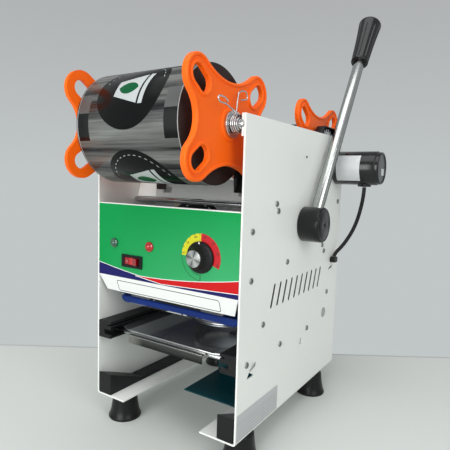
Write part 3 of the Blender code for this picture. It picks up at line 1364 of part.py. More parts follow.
def spring_clip():
    """Wire clip: three turns round the collar and two arms that end in eyes, one unbroken wire."""
    wind = COLLAR_HUB_RADIUS + 2 * FIT_GAP + CLIP_WIRE_RADIUS
    start_x = STAR_RIGHT_X + STAR_RIM / 2 + COLLAR_FLANGE + 3 * FIT_GAP + CLIP_WIRE_RADIUS
    sweep = CLIP_TURNS * math.tau + CLIP_END - CLIP_START
    count = round(CLIP_TURN_POINTS * sweep / math.tau)
    points = []
    for y, z in RIGHT_ARM_SHARES:
        points.append((start_x, y * CLIP_ARM, z * CLIP_ARM))
    for index in range(count + 1):
        turned_by = sweep * index / count
        angle = CLIP_START + turned_by
        x = start_x + CLIP_PITCH * turned_by / math.tau
        points.append((x, wind * math.cos(angle), wind * math.sin(angle)))
    for y, z in LEFT_ARM_SHARES:
        points.append((x, y * CLIP_ARM, z * CLIP_ARM))
    item = smooth(wire("spring_clip", points, CLIP_WIRE_RADIUS))
    print("clip gap to itself, mm:", round(1000 * (CLIP_PITCH - 2 * CLIP_WIRE_RADIUS), 2))
    return place(item, CHROME, SUPPLY_PIVOT, (0, SUPPLY_Y, SUPPLY_Z))


# Arms of the wire clip as shares of the longer arm, back and up from the shaft's axis
CLIP_ARM = 0.0415
RIGHT_ARM_SHARES = (
    (0.24, 0.72), (0.62, 0.80), (0.52, 1.00), (0.20, 0.93), (0.12, 0.80), (0.07, 0.50), (0.02, 0.32),
)
LEFT_ARM_SHARES = (
    (-0.40, 0.34), (-0.78, 0.45), (-1.05, 0.46), (-1.13, 0.55),
    (-1.06, 0.62), (-0.80, 0.60), (-0.68, 0.53), (-0.74, 0.50),
)


def shaft_bracket(name, side):
    """Tab inside the side panel with a sloping slot that holds the supply shaft's journal."""
    outline = rectangle(0, BRACKET_LOW_Z, BRACKET_DEPTH, BODY_HEIGHT)
    tab = slab(name, [outline], BRACKET_THICKNESS)
    width = 2 * (JOURNAL_RADIUS + FIT_GAP)
    reach = 2 * BRACKET_DEPTH
    along = Vector((-1, 1)).normalized()
    middle = Vector((SUPPLY_Y, SUPPLY_Z)) + along * (reach - width) / 2
    loop = stadium(middle, along, reach, width, 2 * CURVE_SEGMENTS)
    slot = slab("journal_slot", [loop], BRACKET_THICKNESS + 2 * OVERRUN)
    tab = cut(tab, slot)
    turn_mesh(tab, ALONG_X, (side * (SEAT_X - BRACKET_THICKNESS / 2), 0, 0))
    return place(tab, WHITE_PAINT, FRAME)


def rewind_shaft():
    """Rewind shaft in one piece with its drive gear."""
    high = GEAR_LEFT_X + GEAR_WIDTH
    profile = (
        (0, high), (REEL_SHAFT_RADIUS, high), (REEL_SHAFT_RADIUS, -BRACKET_X),
        (JOURNAL_RADIUS, -BRACKET_X), (JOURNAL_RADIUS, -HALF_WIDTH), (0, -HALF_WIDTH),
    )
    shaft = turned("rewind_shaft", profile, SMALL_STEPS)
    gear = slab("rewind_gear", [gear_outline(REWIND_GEAR_TEETH, REWIND_GEAR_RADIUS)], GEAR_WIDTH)
    toward_motor = math.atan2(MOTOR_Z - REWIND_Z, MOTOR_Y - REWIND_Y)
    turn_mesh(gear, (0, 0, toward_motor), (0, 0, GEAR_LEFT_X + GEAR_WIDTH / 2))
    shaft = smooth(join(shaft, gear))
    return place(shaft, STEEL, REWIND_PIVOT, (0, REWIND_Y, REWIND_Z), ALONG_X)


def motor_pinion():
    """Motor shaft with its gear, whose tooth gap faces the rewind gear's tooth."""
    right = MOTOR_LEFT_X + MOTOR_SHAFT_DEPTH - FIT_GAP
    shaft = rod("motor_pinion", MOTOR_SHAFT_RADIUS, GEAR_LEFT_X + FIT_GAP, right, SMALL_STEPS)
    gear = slab("pinion_gear", [gear_outline(MOTOR_GEAR_TEETH, MOTOR_GEAR_RADIUS)], GEAR_WIDTH)
    toward_rewind = math.atan2(REWIND_Z - MOTOR_Z, REWIND_Y - MOTOR_Y)
    gap_turn = toward_rewind + math.pi / MOTOR_GEAR_TEETH
    turn_mesh(gear, (0, 0, gap_turn), (0, 0, GEAR_LEFT_X + GEAR_WIDTH / 2))
    item = smooth(join(shaft, gear))
    return place(item, STEEL, ROTOR_PIVOT, (0, MOTOR_Y, MOTOR_Z), ALONG_X)


def rewind_motor():
    """Round motor outside the panel: spigot, barrel, end cap and the cable's grommet."""
    cap_left = MOTOR_LENGTH - MOTOR_CAP_LENGTH
    spigot_end = GEAR_LEFT_X + GEAR_WIDTH + FIT_GAP - MOTOR_LEFT_X
    bore = MOTOR_SHAFT_RADIUS + FIT_GAP
    profile = [
        (0, MOTOR_LENGTH - MOTOR_EDGE), (MOTOR_CAP_RADIUS - 2 * MOTOR_EDGE, MOTOR_LENGTH - MOTOR_EDGE),
        (MOTOR_CAP_RADIUS - 2 * MOTOR_EDGE, MOTOR_LENGTH), (MOTOR_CAP_RADIUS, MOTOR_LENGTH),
        (MOTOR_CAP_RADIUS, cap_left), (MOTOR_RADIUS, cap_left), (MOTOR_RADIUS, 0),
        (MOTOR_SPIGOT_RADIUS, 0), (MOTOR_SPIGOT_RADIUS, spigot_end), (bore, spigot_end),
        (bore, MOTOR_SHAFT_DEPTH), (0, MOTOR_SHAFT_DEPTH),
    ]
    motor = turned("rewind_motor", profile, ROUND_STEPS)
    turn_mesh(motor, ALONG_X)
    grommet = rod("cable_grommet", GROMMET_RADIUS, -MOTOR_RADIUS - GROMMET_DROP, -MOTOR_RADIUS / 2)
    turn_mesh(grommet, FLAT, (GROMMET_REACH, 0, 0))
    motor = smooth(join(motor, grommet))
    return place(motor, BLACK_PLASTIC, FRAME, (MOTOR_LEFT_X, MOTOR_Y, MOTOR_Z))


def drive_cover():
    """Black shell over the two gears; it stands above the right panel's top edge."""
    low_z = MOTOR_Z - MOTOR_GEAR_RADIUS - COVER_MARGIN - COVER_WALL
    outline = [
        (COVER_FRONT_Y, REWIND_Z - REWIND_GEAR_RADIUS / 2), (COVER_FRONT_Y, COVER_TOP_Z - COVER_CHAMFER),
        (COVER_FRONT_Y + COVER_CHAMFER, COVER_TOP_Z), (MOTOR_Y + COVER_CHAMFER, COVER_TOP_Z),
        (COVER_BACK_Y, MOTOR_Z + MOTOR_GEAR_RADIUS), (COVER_BACK_Y, low_z),
        (MOTOR_Y - MOTOR_GEAR_RADIUS, low_z),
    ]
    shell = slab("drive_cover", [outline], SEAT_X - COVER_LEFT_X)
    hollow = slab("cover_hollow", [inset_outline(outline, COVER_WALL)], SEAT_X - COVER_LEFT_X)
    turn_mesh(hollow, FLAT, (0, 0, COVER_WALL))
    hole = rod("cover_hole", REEL_SHAFT_RADIUS + FIT_GAP, -HALF_WIDTH, HALF_WIDTH, SHAFT_STEPS)
    turn_mesh(hole, FLAT, (REWIND_Y, REWIND_Z, 0))
    shell = cut(shell, hollow, hole)
    turn_mesh(shell, ALONG_X, ((COVER_LEFT_X + SEAT_X) / 2, 0, 0))
    return place(shell, BLACK_PLASTIC, FRAME)


def inset_outline(outline, distance):
    """A convex outline drawn in by an equal distance on all sides."""
    points = [Vector(point) for point in outline]
    middle = sum(points, Vector((0, 0))) / len(points)
    drawn = []
    count = len(points)
    for index, point in enumerate(points):
        before = (point - points[index - 1]).normalized()
        after = (points[(index + 1) % count] - point).normalized()
        normals = []
        for direction in (before, after):
            normal = Vector((-direction.y, direction.x))
            if normal.dot(middle - point) < 0:
                normal = -normal
            normals.append(normal)
        bisector = (normals[0] + normals[1]).normalized()
        drawn.append(tuple(point + bisector * distance / bisector.dot(normals[0])))
    return drawn


# Motor cable, clipped at the right panel's rear edge

CABLE_ROUTE = (
    (0.1745, 0.3130, 0.3262), (0.1744, 0.3130, 0.3190), (0.1735, 0.3132, 0.3070),
    (0.1705, 0.3145, 0.2915), (0.1660, 0.3155, 0.2720), (0.1590, 0.3155, 0.2520),
    (0.1490, 0.3140, 0.2330), (0.1390, 0.3110, 0.2175), (0.1314, 0.3084, 0.2100),
    (0.1304, 0.3080, 0.2042),
)


def smooth_route(route, count):
    """Even points on a smooth curve through the route."""
    anchors = [Vector(point) for point in route]
    padded = [2 * anchors[0] - anchors[1]] + anchors + [2 * anchors[-1] - anchors[-2]]
    spans = len(anchors) - 1
    points = []
    for index in range(count + 1):
        span = min(spans * index // count, spans - 1)
        share = spans * index / count - span
        a, b, c, d = padded[span:span + 4]
        bend = (2 * a - 5 * b + 4 * c - d) * share ** 2 + (3 * b - a - 3 * c + d) * share ** 3
        points.append(b + ((c - a) * share + bend) / 2)
    return points


def motor_cable():
    route = smooth_route(CABLE_ROUTE, CABLE_POINTS)
    item = smooth(wire("motor_cable", route, CABLE_RADIUS, CABLE_SIDE_SEGMENTS))
    return place(item, BLACK_RUBBER, FRAME)


def cable_clip():
    """Clip block on the panel, whose top the cable ends on."""
    low_y = CLIP_BLOCK_Y - CLIP_BLOCK_DEPTH / 2
    high_y = CLIP_BLOCK_Y + CLIP_BLOCK_DEPTH / 2
    high_z = CLIP_BLOCK_LOW_Z + CLIP_BLOCK_HEIGHT
    outline = rounded_rectangle(low_y, CLIP_BLOCK_LOW_Z, high_y, high_z, CLIP_BLOCK_CORNER)
    block = slab("cable_clip", [outline], CLIP_BLOCK_THICKNESS)
    turn_mesh(block, ALONG_X, (HALF_WIDTH + FIT_GAP + CLIP_BLOCK_THICKNESS / 2, 0, 0))
    return place(block, BLACK_PLASTIC, FRAME)


# Assembly: the frame's datum and one pivot on the axis of each moving body

FRAME = empty("machine_datum", DATUM)
LEVER_PIVOT = empty("lever_axis", (0, SHAFT_Y, SHAFT_Z), FRAME)
HEAD_PIVOT = empty("head_slide", (0, HEAD_Y, CARRIAGE_BOTTOM_Z), FRAME)
SPRING_PIVOT = empty("spring_top", (0, SPRING_Y, BRIDGE_BOTTOM_Z), FRAME)
TRAY_PIVOT = empty("tray_slide", (0, TRAY_FRONT_Y, TRAY_TOP_Z), FRAME)
SUPPLY_PIVOT = empty("supply_axis", (0, SUPPLY_Y, SUPPLY_Z), FRAME)
REWIND_PIVOT = empty("rewind_axis", (0, REWIND_Y, REWIND_Z), FRAME)
ROTOR_PIVOT = empty("rotor_axis", (0, MOTOR_Y, MOTOR_Z), FRAME)
KNOB_PIVOT = empty("knob_axis", (KNOB_X, 0, KNOB_Z), FRAME)
ROCKER_PIVOT = empty("rocker_axis", (SWITCH_X, ROCKER_PIVOT_DEPTH, SWITCH_Z), FRAME)


def build_shell():
    side_panel("side_panel_left", -1)
    side_panel("side_panel_right", 1)
    front_panel()
    inner_deck()
    guide_rod()
    film_guide_plate()
    rear_cover()
    power_inlet()
    lower_shelf()
    foot("foot_front_left", FOOT_LEFT_INSET - HALF_WIDTH, FOOT_LEFT_FRONT_Y)
    foot("foot_rear_left", FOOT_LEFT_INSET - HALF_WIDTH, BODY_DEPTH - FOOT_LEFT_REAR_INSET)
    foot("foot_front_right", HALF_WIDTH - FOOT_RIGHT_INSET, FOOT_RIGHT_FRONT_Y)
    foot("foot_rear_right", HALF_WIDTH - FOOT_RIGHT_INSET, BODY_DEPTH - FOOT_RIGHT_REAR_INSET)


def build_controls():
    thermostat_knob()
    rocker_bezel()
    power_rocker()
    lamp("lamp_green", LAMP_GREEN, GREEN_LAMP_X, GREEN_LAMP_Z)
    lamp("lamp_red", LAMP_RED, RED_LAMP_X, RED_LAMP_Z)


def build_tray():
    for side, hand in ((-1, "left"), (1, "right")):
        tray_rail("tray_rail_" + hand, side)
        ramp_rail("ramp_rail_" + hand, side)
    tray_plate()
    tray_handle()
    tray_axle("tray_axle_front", AXLE_FRONT_Y, roller=False)
    tray_axle("tray_axle_rear", AXLE_REAR_Y, roller=True)
    cup_ring()


def build_press():
    press_shaft()
    lever_hub()
    lever_rod()
    lever_grip()
    press_pinion()
    head_rack()
    head_carriage()
    heater_block()
    cutter_ring()
    column_bridge()
    for side, hand in ((-1, "left"), (1, "right")):
        shaft_bush("shaft_bush_" + hand, side)
        guide_column("guide_column_" + hand, side)
        return_spring("return_spring_" + hand, side)


def build_reels():
    supply_shaft()
    film_reel("film_roll", FILM_RADIUS, SUPPLY_Y, SUPPLY_Z, SUPPLY_PIVOT)
    star_plate("supply_star_left", STAR_LEFT_X, SUPPLY_Y, SUPPLY_Z, -1, SUPPLY_PIVOT)
    star_plate("supply_star_right", STAR_RIGHT_X, SUPPLY_Y, SUPPLY_Z, 1, SUPPLY_PIVOT)
    shaft_collar()
    spring_clip()
    shaft_bracket("shaft_bracket_left", -1)
    shaft_bracket("shaft_bracket_right", 1)
    rewind_shaft()
    film_reel("rewind_roll", WASTE_RADIUS, REWIND_Y, REWIND_Z, REWIND_PIVOT)
    star_plate("rewind_star_left", STAR_LEFT_X, REWIND_Y, REWIND_Z, -1, REWIND_PIVOT)
    star_plate("rewind_star_right", STAR_RIGHT_X, REWIND_Y, REWIND_Z, 1, REWIND_PIVOT)
    motor_pinion()
    rewind_motor()
    drive_cover()
    motor_cable()
    cable_clip()


build_shell()
build_controls()
build_tray()
build_press()
build_reels()
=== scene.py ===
"""Looks of a counter-top cup sealing machine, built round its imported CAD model."""

import math

import bmesh
import bpy
from mathutils import Euler, Matrix, Vector


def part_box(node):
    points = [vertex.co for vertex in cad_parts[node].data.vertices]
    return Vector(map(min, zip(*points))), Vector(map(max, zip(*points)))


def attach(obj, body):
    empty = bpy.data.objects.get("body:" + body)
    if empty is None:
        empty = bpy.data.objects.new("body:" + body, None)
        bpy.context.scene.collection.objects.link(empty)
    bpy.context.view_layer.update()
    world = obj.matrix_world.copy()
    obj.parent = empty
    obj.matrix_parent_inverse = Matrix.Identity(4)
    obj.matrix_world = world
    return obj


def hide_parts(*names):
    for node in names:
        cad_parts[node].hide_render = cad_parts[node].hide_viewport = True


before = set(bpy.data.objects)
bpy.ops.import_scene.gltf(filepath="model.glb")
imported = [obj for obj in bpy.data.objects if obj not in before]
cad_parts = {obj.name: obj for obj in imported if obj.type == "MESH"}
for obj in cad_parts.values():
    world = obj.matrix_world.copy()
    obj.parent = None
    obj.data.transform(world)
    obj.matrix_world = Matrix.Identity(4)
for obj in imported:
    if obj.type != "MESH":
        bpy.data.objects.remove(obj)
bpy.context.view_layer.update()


# The machine's datum: midway between the side panels, at their front edges and on the underside
# of their bottom flanges. Every place in this file is stated from it and in metres.
panel_low, panel_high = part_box("side_panel_right")
far_panel_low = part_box("side_panel_left")[0]
datum = Vector(((far_panel_low.x + panel_high.x) / 2, panel_low.y, panel_low.z))
half_width = panel_high.x - datum.x


def spot(x, y, z):
    return datum + Vector((x, y, z))


# The camera stands to the right of the machine's front, a little above the control panel.
# Its lens follows from the focal length, which is stated in pixels of a 450 pixel frame.
PHOTO_WIDTH = 450
PHOTO_FOCAL = 455.8
SENSOR_WIDTH = 36
CAMERA_PLACE = (0.4009, -0.4618, 0.3313)
CAMERA_TILT = 1.4725
CAMERA_ROLL = -0.0300
CAMERA_TURN = 0.5802

camera_data = bpy.data.cameras.new("camera")
camera_data.sensor_width = SENSOR_WIDTH
camera_data.lens = SENSOR_WIDTH * PHOTO_FOCAL / PHOTO_WIDTH
camera = bpy.data.objects.new("camera", camera_data)
camera.location = spot(*CAMERA_PLACE)
camera.rotation_euler = (CAMERA_TILT, CAMERA_ROLL, CAMERA_TURN)
bpy.context.scene.collection.objects.link(camera)
bpy.context.scene.camera = camera
bpy.context.scene.view_settings.view_transform = "Standard"


# Shader values and finishes: arithmetic on a Signal adds Math nodes, a Shading makes all nodes of
# one tree, and a Finish is the Shading of one material. Soft steps are a tenth of a millimetre.
SOFT_STEP = 0.0001


class Signal:
    def __init__(self, shading, socket):
        self.shading = shading
        self.socket = socket

    def out(self, name):
        return Signal(self.shading, self.socket.node.outputs[name])

    def math(self, operation, *others):
        inputs = dict(enumerate((self, *others)))
        return self.shading.node("Math", {"operation": operation}, inputs)

    def __add__(self, other):
        return self.math("ADD", other)

    def __sub__(self, other):
        return self.math("SUBTRACT", other)

    def __rsub__(self, other):
        return self.math("MULTIPLY", -1) + other

    def __mul__(self, other):
        return self.math("MULTIPLY", other)

    def __truediv__(self, other):
        return self.math("DIVIDE", other)

    def __pow__(self, other):
        return self.math("POWER", other)

    def __neg__(self):
        return self * -1

    __radd__ = __add__
    __rmul__ = __mul__

    def size(self):
        return self.math("ABSOLUTE")

    def least(self, other):
        return self.math("MINIMUM", other)

    def most(self, other):
        return self.math("MAXIMUM", other)

    def clamped(self):
        return self.most(0).least(1)

    def reach(self, other):
        """The length of the diagonal that two values span."""
        return (self * self + other * other) ** 0.5

    def over(self, edge, blur=SOFT_STEP):
        """1 over the edge and 0 under it, with a soft step as wide as the blur."""
        return ((self - edge) / blur + 0.5).clamped()

    def under(self, edge, blur=SOFT_STEP):
        return 1 - self.over(edge, blur)

    def within(self, low, high, blur=SOFT_STEP):
        """1 between two edges and 0 outside them."""
        return self.over(low, blur) * self.under(high, blur)

    def wrapped(self, pitch):
        """The signed distance from the middle of the nearest of equal pitches."""
        return self.math("WRAP", pitch / 2, -pitch / 2)


class Shading:
    def __init__(self, tree):
        self.tree = tree

    def feed(self, socket, value):
        if isinstance(value, Signal):
            self.tree.links.new(value.socket, socket)
        elif socket.type == "RGBA":
            socket.default_value = (*value, 1)
        else:
            socket.default_value = value

    def node(self, kind, settings=None, inputs=None, output=0):
        made = self.tree.nodes.new("ShaderNode" + kind)
        for name, value in (settings or {}).items():
            setattr(made, name, value)
        for name, value in (inputs or {}).items():
            self.feed(made.inputs[name], value)
        return Signal(self, made.outputs[output])


class Finish(Shading):
    def __init__(self, name, color, roughness, metallic=0.0, slot=None):
        self.material = bpy.data.materials.new(name)
        self.material.use_nodes = True
        super().__init__(self.material.node_tree)
        self.shader = self.tree.nodes["Principled BSDF"]
        self.slot = slot
        self.set(Base_Color=color, Roughness=roughness, Metallic=metallic)

    def set(self, **values):
        """Feeds sockets of the shader; an underscore stands for each space in a socket's name."""
        for name, value in values.items():
            self.feed(self.shader.inputs[name.replace("_", " ")], value)

    def place(self, center=(0, 0, 0), turn=(0, 0, 0), stretch=(1, 1, 1)):
        """Object coordinates about a center, turned and stretched."""
        seen = self.node("TexCoord").out("Object")
        moved = self.node("VectorMath", {"operation": "SUBTRACT"}, {0: seen, 1: center})
        return self.node("Mapping", {}, {"Vector": moved, "Rotation": turn, "Scale": stretch})

    def axes(self, place):
        split = self.node("SeparateXYZ", {}, {0: place})
        return split.out("X"), split.out("Y"), split.out("Z")

    def noise(self, place, per_metre, detail=3.0, roughness=0.5):
        inputs = {"Vector": place, "Scale": per_metre, "Detail": detail, "Roughness": roughness}
        return self.node("TexNoise", {}, inputs)

    def mix(self, share, first, second):
        inputs = {0: share, 6: first, 7: second}
        return self.node("Mix", {"data_type": "RGBA"}, inputs, output=2)

    def paint(self, color, *layers):
        """Lays (mask, color) layers over a color and feeds the result into the base color."""
        for mask, layer in layers:
            color = self.mix(mask, color, layer)
        self.set(Base_Color=color)

    def wear(self, tone, low, high):
        """A roughness that runs from low to high with a tone."""
        self.set(Roughness=tone * (high - low) + low)

    def weather(self, per_metre, roughness, tones=None, detail=3.0, place=None):
        """One noise that runs the roughness, and the base color too where two tones are given."""
        tone = self.noise(place or self.place(), per_metre, detail)
        if tones:
            self.paint(self.mix(tone, *tones))
        self.wear(tone, *roughness)

    def bump(self, height, depth, strength=1.0):
        """Feeds a height that runs from 0 to 1 into the normal; depth is in metres."""
        inputs = {"Height": height, "Distance": depth, "Strength": strength}
        self.set(Normal=self.node("Bump", {}, inputs))

    def grain(self, per_metre, depth, strength):
        self.bump(self.noise(self.place(), per_metre, 2), depth, strength)


# The table is one large pale sheet. Past a grey seam, which lies square to the view, the sheet
# glows in the plain tone of the wall instead, and the world above it shows the same wall.
TABLE_TONES = ((0.645, 0.675, 0.645), (0.70, 0.73, 0.70))
TABLE_DEPTH = 0.955
SEAM_TONE = (0.50, 0.53, 0.52)
SEAM_LEAD = 0.006
SEAM_BLUR = 0.004
WALL_SHOWN = (0.53, 0.565, 0.565)
WALL_TOP = (0.43, 0.442, 0.452)
WALL_RISE = 0.35
UNLIT = (0.0, 0.0, 0.0)
FLOOR_REACH = 6.0

floor_form = bmesh.new()
bmesh.ops.create_grid(floor_form, x_segments=1, y_segments=1, size=FLOOR_REACH)
floor_mesh = bpy.data.meshes.new("floor")
floor_form.to_mesh(floor_mesh)
floor_form.free()
floor = bpy.data.objects.new("floor", floor_mesh)
bpy.context.scene.collection.objects.link(floor)
table_top = Finish("table_top", TABLE_TONES[0], 0.45)
away = table_top.axes(table_top.place(camera.location, (0, 0, -CAMERA_TURN)))[1]
table_color = table_top.mix(table_top.noise(table_top.place(), 1.6), *TABLE_TONES)
in_seam = away.within(TABLE_DEPTH - SEAM_LEAD, TABLE_DEPTH + SEAM_BLUR, SEAM_BLUR)
past_seam = away.over(TABLE_DEPTH, SEAM_BLUR)
table_top.paint(table_color, (in_seam, SEAM_TONE), (past_seam, UNLIT))
wall_glow = table_top.mix(past_seam, UNLIT, WALL_SHOWN)
table_top.set(Emission_Color=wall_glow, Emission_Strength=1.0, Specular_IOR_Level=0.0)
table_top.wear(table_top.noise(table_top.place(), 30), 0.38, 0.5)
floor_mesh.materials.append(table_top.material)

TENT_TONE = (0.97, 0.98, 1.0)
TENT_LIGHT = 0.45
LAMP_AIM = spot(0, 0.17, 0.25)

world = bpy.data.worlds.new("studio")
bpy.context.scene.world = world
world.use_nodes = True
sky = Shading(world.node_tree)
upward = sky.node("SeparateXYZ", {}, {0: sky.node("TexCoord").out("Generated")}).out("Z")
wall_tones = sky.node("ValToRGB", {}, {0: upward})
low_stop, high_stop = wall_tones.socket.node.color_ramp.elements
low_stop.color = (*WALL_SHOWN, 1)
high_stop.color = (*WALL_TOP, 1)
high_stop.position = WALL_RISE
wall_light = world.node_tree.nodes["Background"]
sky.feed(wall_light.inputs["Color"], wall_tones)
sky.feed(wall_light.inputs["Strength"], 1.0)
tent = sky.node("Background", {}, {"Color": TENT_TONE, "Strength": TENT_LIGHT})
rays = sky.node("LightPath")
mirrored = rays.out("Is Glossy Ray").most(rays.out("Is Transmission Ray"))
wall_seen = rays.out("Is Camera Ray").most(mirrored)
wall = Signal(sky, wall_light.outputs[0])
lighting = sky.node("MixShader", {}, {0: wall_seen, 1: tent, 2: wall})
sky.feed(world.node_tree.nodes["World Output"].inputs["Surface"], lighting)


def soft_lamp(name, place, width, height, power):
    """A rectangular lamp that looks at the machine's middle."""
    data = bpy.data.lights.new(name, "AREA")
    data.shape = "RECTANGLE"
    data.size = width
    data.size_y = height
    data.energy = power
    lamp = bpy.data.objects.new(name, data)
    lamp.location = place
    lamp.rotation_euler = (LAMP_AIM - place).to_track_quat("-Z", "Y").to_euler()
    bpy.context.scene.collection.objects.link(lamp)


soft_lamp("top_lamp", spot(0.1, -0.4, 1.9), 1.8, 1.4, 15)
soft_lamp("front_lamp", spot(0.15, -2.0, 0.6), 1.3, 1.3, 29)
soft_lamp("right_lamp", spot(1.7, -0.6, 1.0), 0.9, 1.3, 10)


# Side panels: steel sheet with a bottom flange, in smooth white powder coat that shows a faint
# orange-peel grain and soft folded edges. The deck and the rear cover are coated the same way.
WELD = 0.00001
FACET_ANGLE = math.radians(0.3)
BEVEL_ANGLE = math.radians(30)
CREASE = math.radians(50)
FLAT_STEP = math.radians(0.5)
ROUND_STEP = math.radians(18)
BENT_SHARE = 0.25
BROAD_FACE = 0.0008
EDGE = 0.0004
SMALL_EDGE = 0.0003


def shade(form):
    """Shades round faces smoothly, and leaves broad flat faces and steep edges sharp."""
    form.normal_update()
    for edge in form.edges:
        edge.smooth = edge.calc_face_angle(0) < CREASE
    for face in form.faces:
        bends = [edge for edge in face.edges if FLAT_STEP < edge.calc_face_angle(0) < ROUND_STEP]
        curved = sum(edge.calc_length() for edge in bends) > BENT_SHARE * face.calc_perimeter()
        narrow = face.calc_area() < BROAD_FACE * face.calc_perimeter()
        face.smooth = curved or narrow


def piece(form, name, body, finish, replaces=()):
    """Makes a bmesh an object at the origin that rides on a CAD body."""
    shade(form)
    mesh = bpy.data.meshes.new(name)
    form.to_mesh(mesh)
    form.free()
    mesh.materials.append(finish.material)
    item = bpy.data.objects.new(name, mesh)
    bpy.context.scene.collection.objects.link(item)
    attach(item, body)
    if replaces:
        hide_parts(*replaces)


def soften(form, width, segments=2):
    """Rounds every sharp edge of a bmesh."""
    form.normal_update()
    shared = [edge for edge in form.edges if edge.is_manifold]
    sharp = [edge for edge in shared if edge.calc_face_angle(0) > BEVEL_ANGLE]
    bmesh.ops.bevel(
        form, geom=sharp, offset=width, offset_type="OFFSET", segments=segments,
        profile=0.5, affect="EDGES", material=-1, clamp_overlap=True,
    )
    return form


def cad_copy(node):
    """The CAD node's shape as a welded bmesh with whole flat faces."""
    form = bmesh.new()
    form.from_mesh(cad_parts[node].data)
    bmesh.ops.remove_doubles(form, verts=form.verts, dist=WELD)
    bmesh.ops.dissolve_limit(form, angle_limit=FACET_ANGLE, verts=form.verts, edges=form.edges)
    return form


def remade(form, node, body, finish):
    """Shows a bmesh in place of a CAD node."""
    piece(form, node + "_looks", body, finish, (node,))


def softened(node, body, finish, width):
    """Shows a CAD node with rounded edges."""
    remade(soften(cad_copy(node), width), node, body, finish)


VENT_LOW = (0.070, 0.150)
VENT_HIGH = (0.278, 0.200)
SHEET_SKIN = 0.00025
SHEET_CORE = 0.0024

white_coat = Finish("white_coat", (0.83, 0.845, 0.83), 0.34, slot="white_paint")
coat_tone = white_coat.noise(white_coat.place(), 9)
coat_x, coat_y, coat_z = white_coat.axes(white_coat.place(datum))
in_vents = coat_y.within(VENT_LOW[0], VENT_HIGH[0]) * coat_z.within(VENT_LOW[1], VENT_HIGH[1])
# Painted shade: the walls of the vent slots, within the sheet's thickness, are painted near black.
slot_wall_shade = coat_x.size().within(half_width - SHEET_CORE, half_width - SHEET_SKIN) * in_vents
coat_color = white_coat.mix(coat_tone, (0.79, 0.815, 0.785), (0.84, 0.86, 0.83))
white_coat.paint(coat_color, (slot_wall_shade, (0.09, 0.095, 0.09)))
white_coat.wear(coat_tone, 0.28, 0.40)
white_coat.set(Coat_Weight=0.12)
white_coat.grain(900, 0.00004, 0.35)

for hand in ("left", "right"):
    softened("side_panel_" + hand, "frame", white_coat, EDGE)
    softened("shaft_bracket_" + hand, "frame", white_coat, EDGE)
for node in ("inner_deck", "rear_cover"):
    softened(node, "frame", white_coat, EDGE)


# Vent shade sheets: a black matte strip with a fine grain inside each side panel, a sheet of
# painted shade put there so that its vent slots show dark.
SHADE_SHEET_INSET = 0.0027
SHADE_SHEET_THICKNESS = 0.0008
SHADE_SHEET_EDGE = 0.0002

# Near black matte: painted shade for the vent sheets and left screw recesses, and the black button.
black_matte_and_shade = Finish("black_matte_and_shade", (0.012, 0.012, 0.013), 0.9, slot="black_plastic")
matte_speckle = black_matte_and_shade.noise(black_matte_and_shade.place(), 2600, 4, 0.7)
black_matte_and_shade.paint(black_matte_and_shade.mix(matte_speckle, (0.006, 0.006, 0.007), (0.020, 0.020, 0.021)))
black_matte_and_shade.bump(matte_speckle, 0.0002, 0.6)


def block(low, high, width):
    """A rounded block between two corners."""
    form = bmesh.new()
    bmesh.ops.create_cube(form, size=1)
    bmesh.ops.scale(form, vec=high - low, verts=form.verts)
    bmesh.ops.translate(form, vec=(low + high) / 2, verts=form.verts)
    return soften(form, width)


for side, hand in ((-1, "left"), (1, "right")):
    outer = side * (half_width - SHADE_SHEET_INSET)
    inner = outer - side * SHADE_SHEET_THICKNESS
    low = spot(min(outer, inner), *VENT_LOW)
    high = spot(max(outer, inner), *VENT_HIGH)
    piece(block(low, high, SHADE_SHEET_EDGE), "vent_shade_sheet_" + hand, "frame", black_matte_and_shade)


# Panel screws: zinc-plated, with a cross recess, driven through the side panels into the rails,
# the control panel, the guide plate and the rear cover. They have pan heads on the right panel and
# lie flush in the left one, with a cross of painted shade. Places are measured back and up.
SCREW_PLACES = (
    (0.0879, 0.3014), (0.0933, 0.2918), (0.0245, 0.2686), (0.1282, 0.2175), (0.0252, 0.2067),
    (0.0611, 0.1421), (0.1151, 0.0999), (0.2113, 0.0986), (0.0215, 0.0992), (0.2608, 0.2284),
    (0.2692, 0.2176), (0.2929, 0.1429), (0.3254, 0.2994),
)
SCREW_RADIUS = 0.0041
SCREW_RISE = 0.0017
CROWN_SHARE = 0.68
RIM_SHARE = 0.3
FLUSH_RISE = 0.00006
CROSS_REACH = 0.0019
CROSS_HALF_WIDTH = 0.00045
CROSS_DEPTH = 0.0009
WHOLE_TURN = math.tau
ALONG_X = (math.pi / 2, 0, math.pi / 2)
ALONG_MINUS_X = (math.pi / 2, 0, -math.pi / 2)

zinc = Finish("zinc_plate", (0.52, 0.53, 0.52), 0.28, 1.0, slot="steel")
zinc.weather(900, (0.2, 0.42), ((0.10, 0.105, 0.10), (0.46, 0.47, 0.46)))


def turned(profile, steps=64, closed=False):
    """A bmesh spun about local Z from points of radius and height."""
    form = bmesh.new()
    points = [form.verts.new((radius, 0, height)) for radius, height in profile]
    edges = [form.edges.new(pair) for pair in zip(points, points[1:])]
    if closed:
        edges.append(form.edges.new((points[-1], points[0])))
    bmesh.ops.spin(
        form, geom=points + edges, cent=(0, 0, 0), axis=(0, 0, 1),
        angle=WHOLE_TURN, steps=steps, use_merge=True, use_duplicate=False,
    )
    bmesh.ops.remove_doubles(form, verts=form.verts, dist=WELD / 10)
    bmesh.ops.recalc_face_normals(form, faces=form.faces)
    return form


def round_bar(radius, low, high, steps=64):
    """A solid cylinder between two heights on local Z."""
    return turned(((0, high), (radius, high), (radius, low), (0, low)), steps)


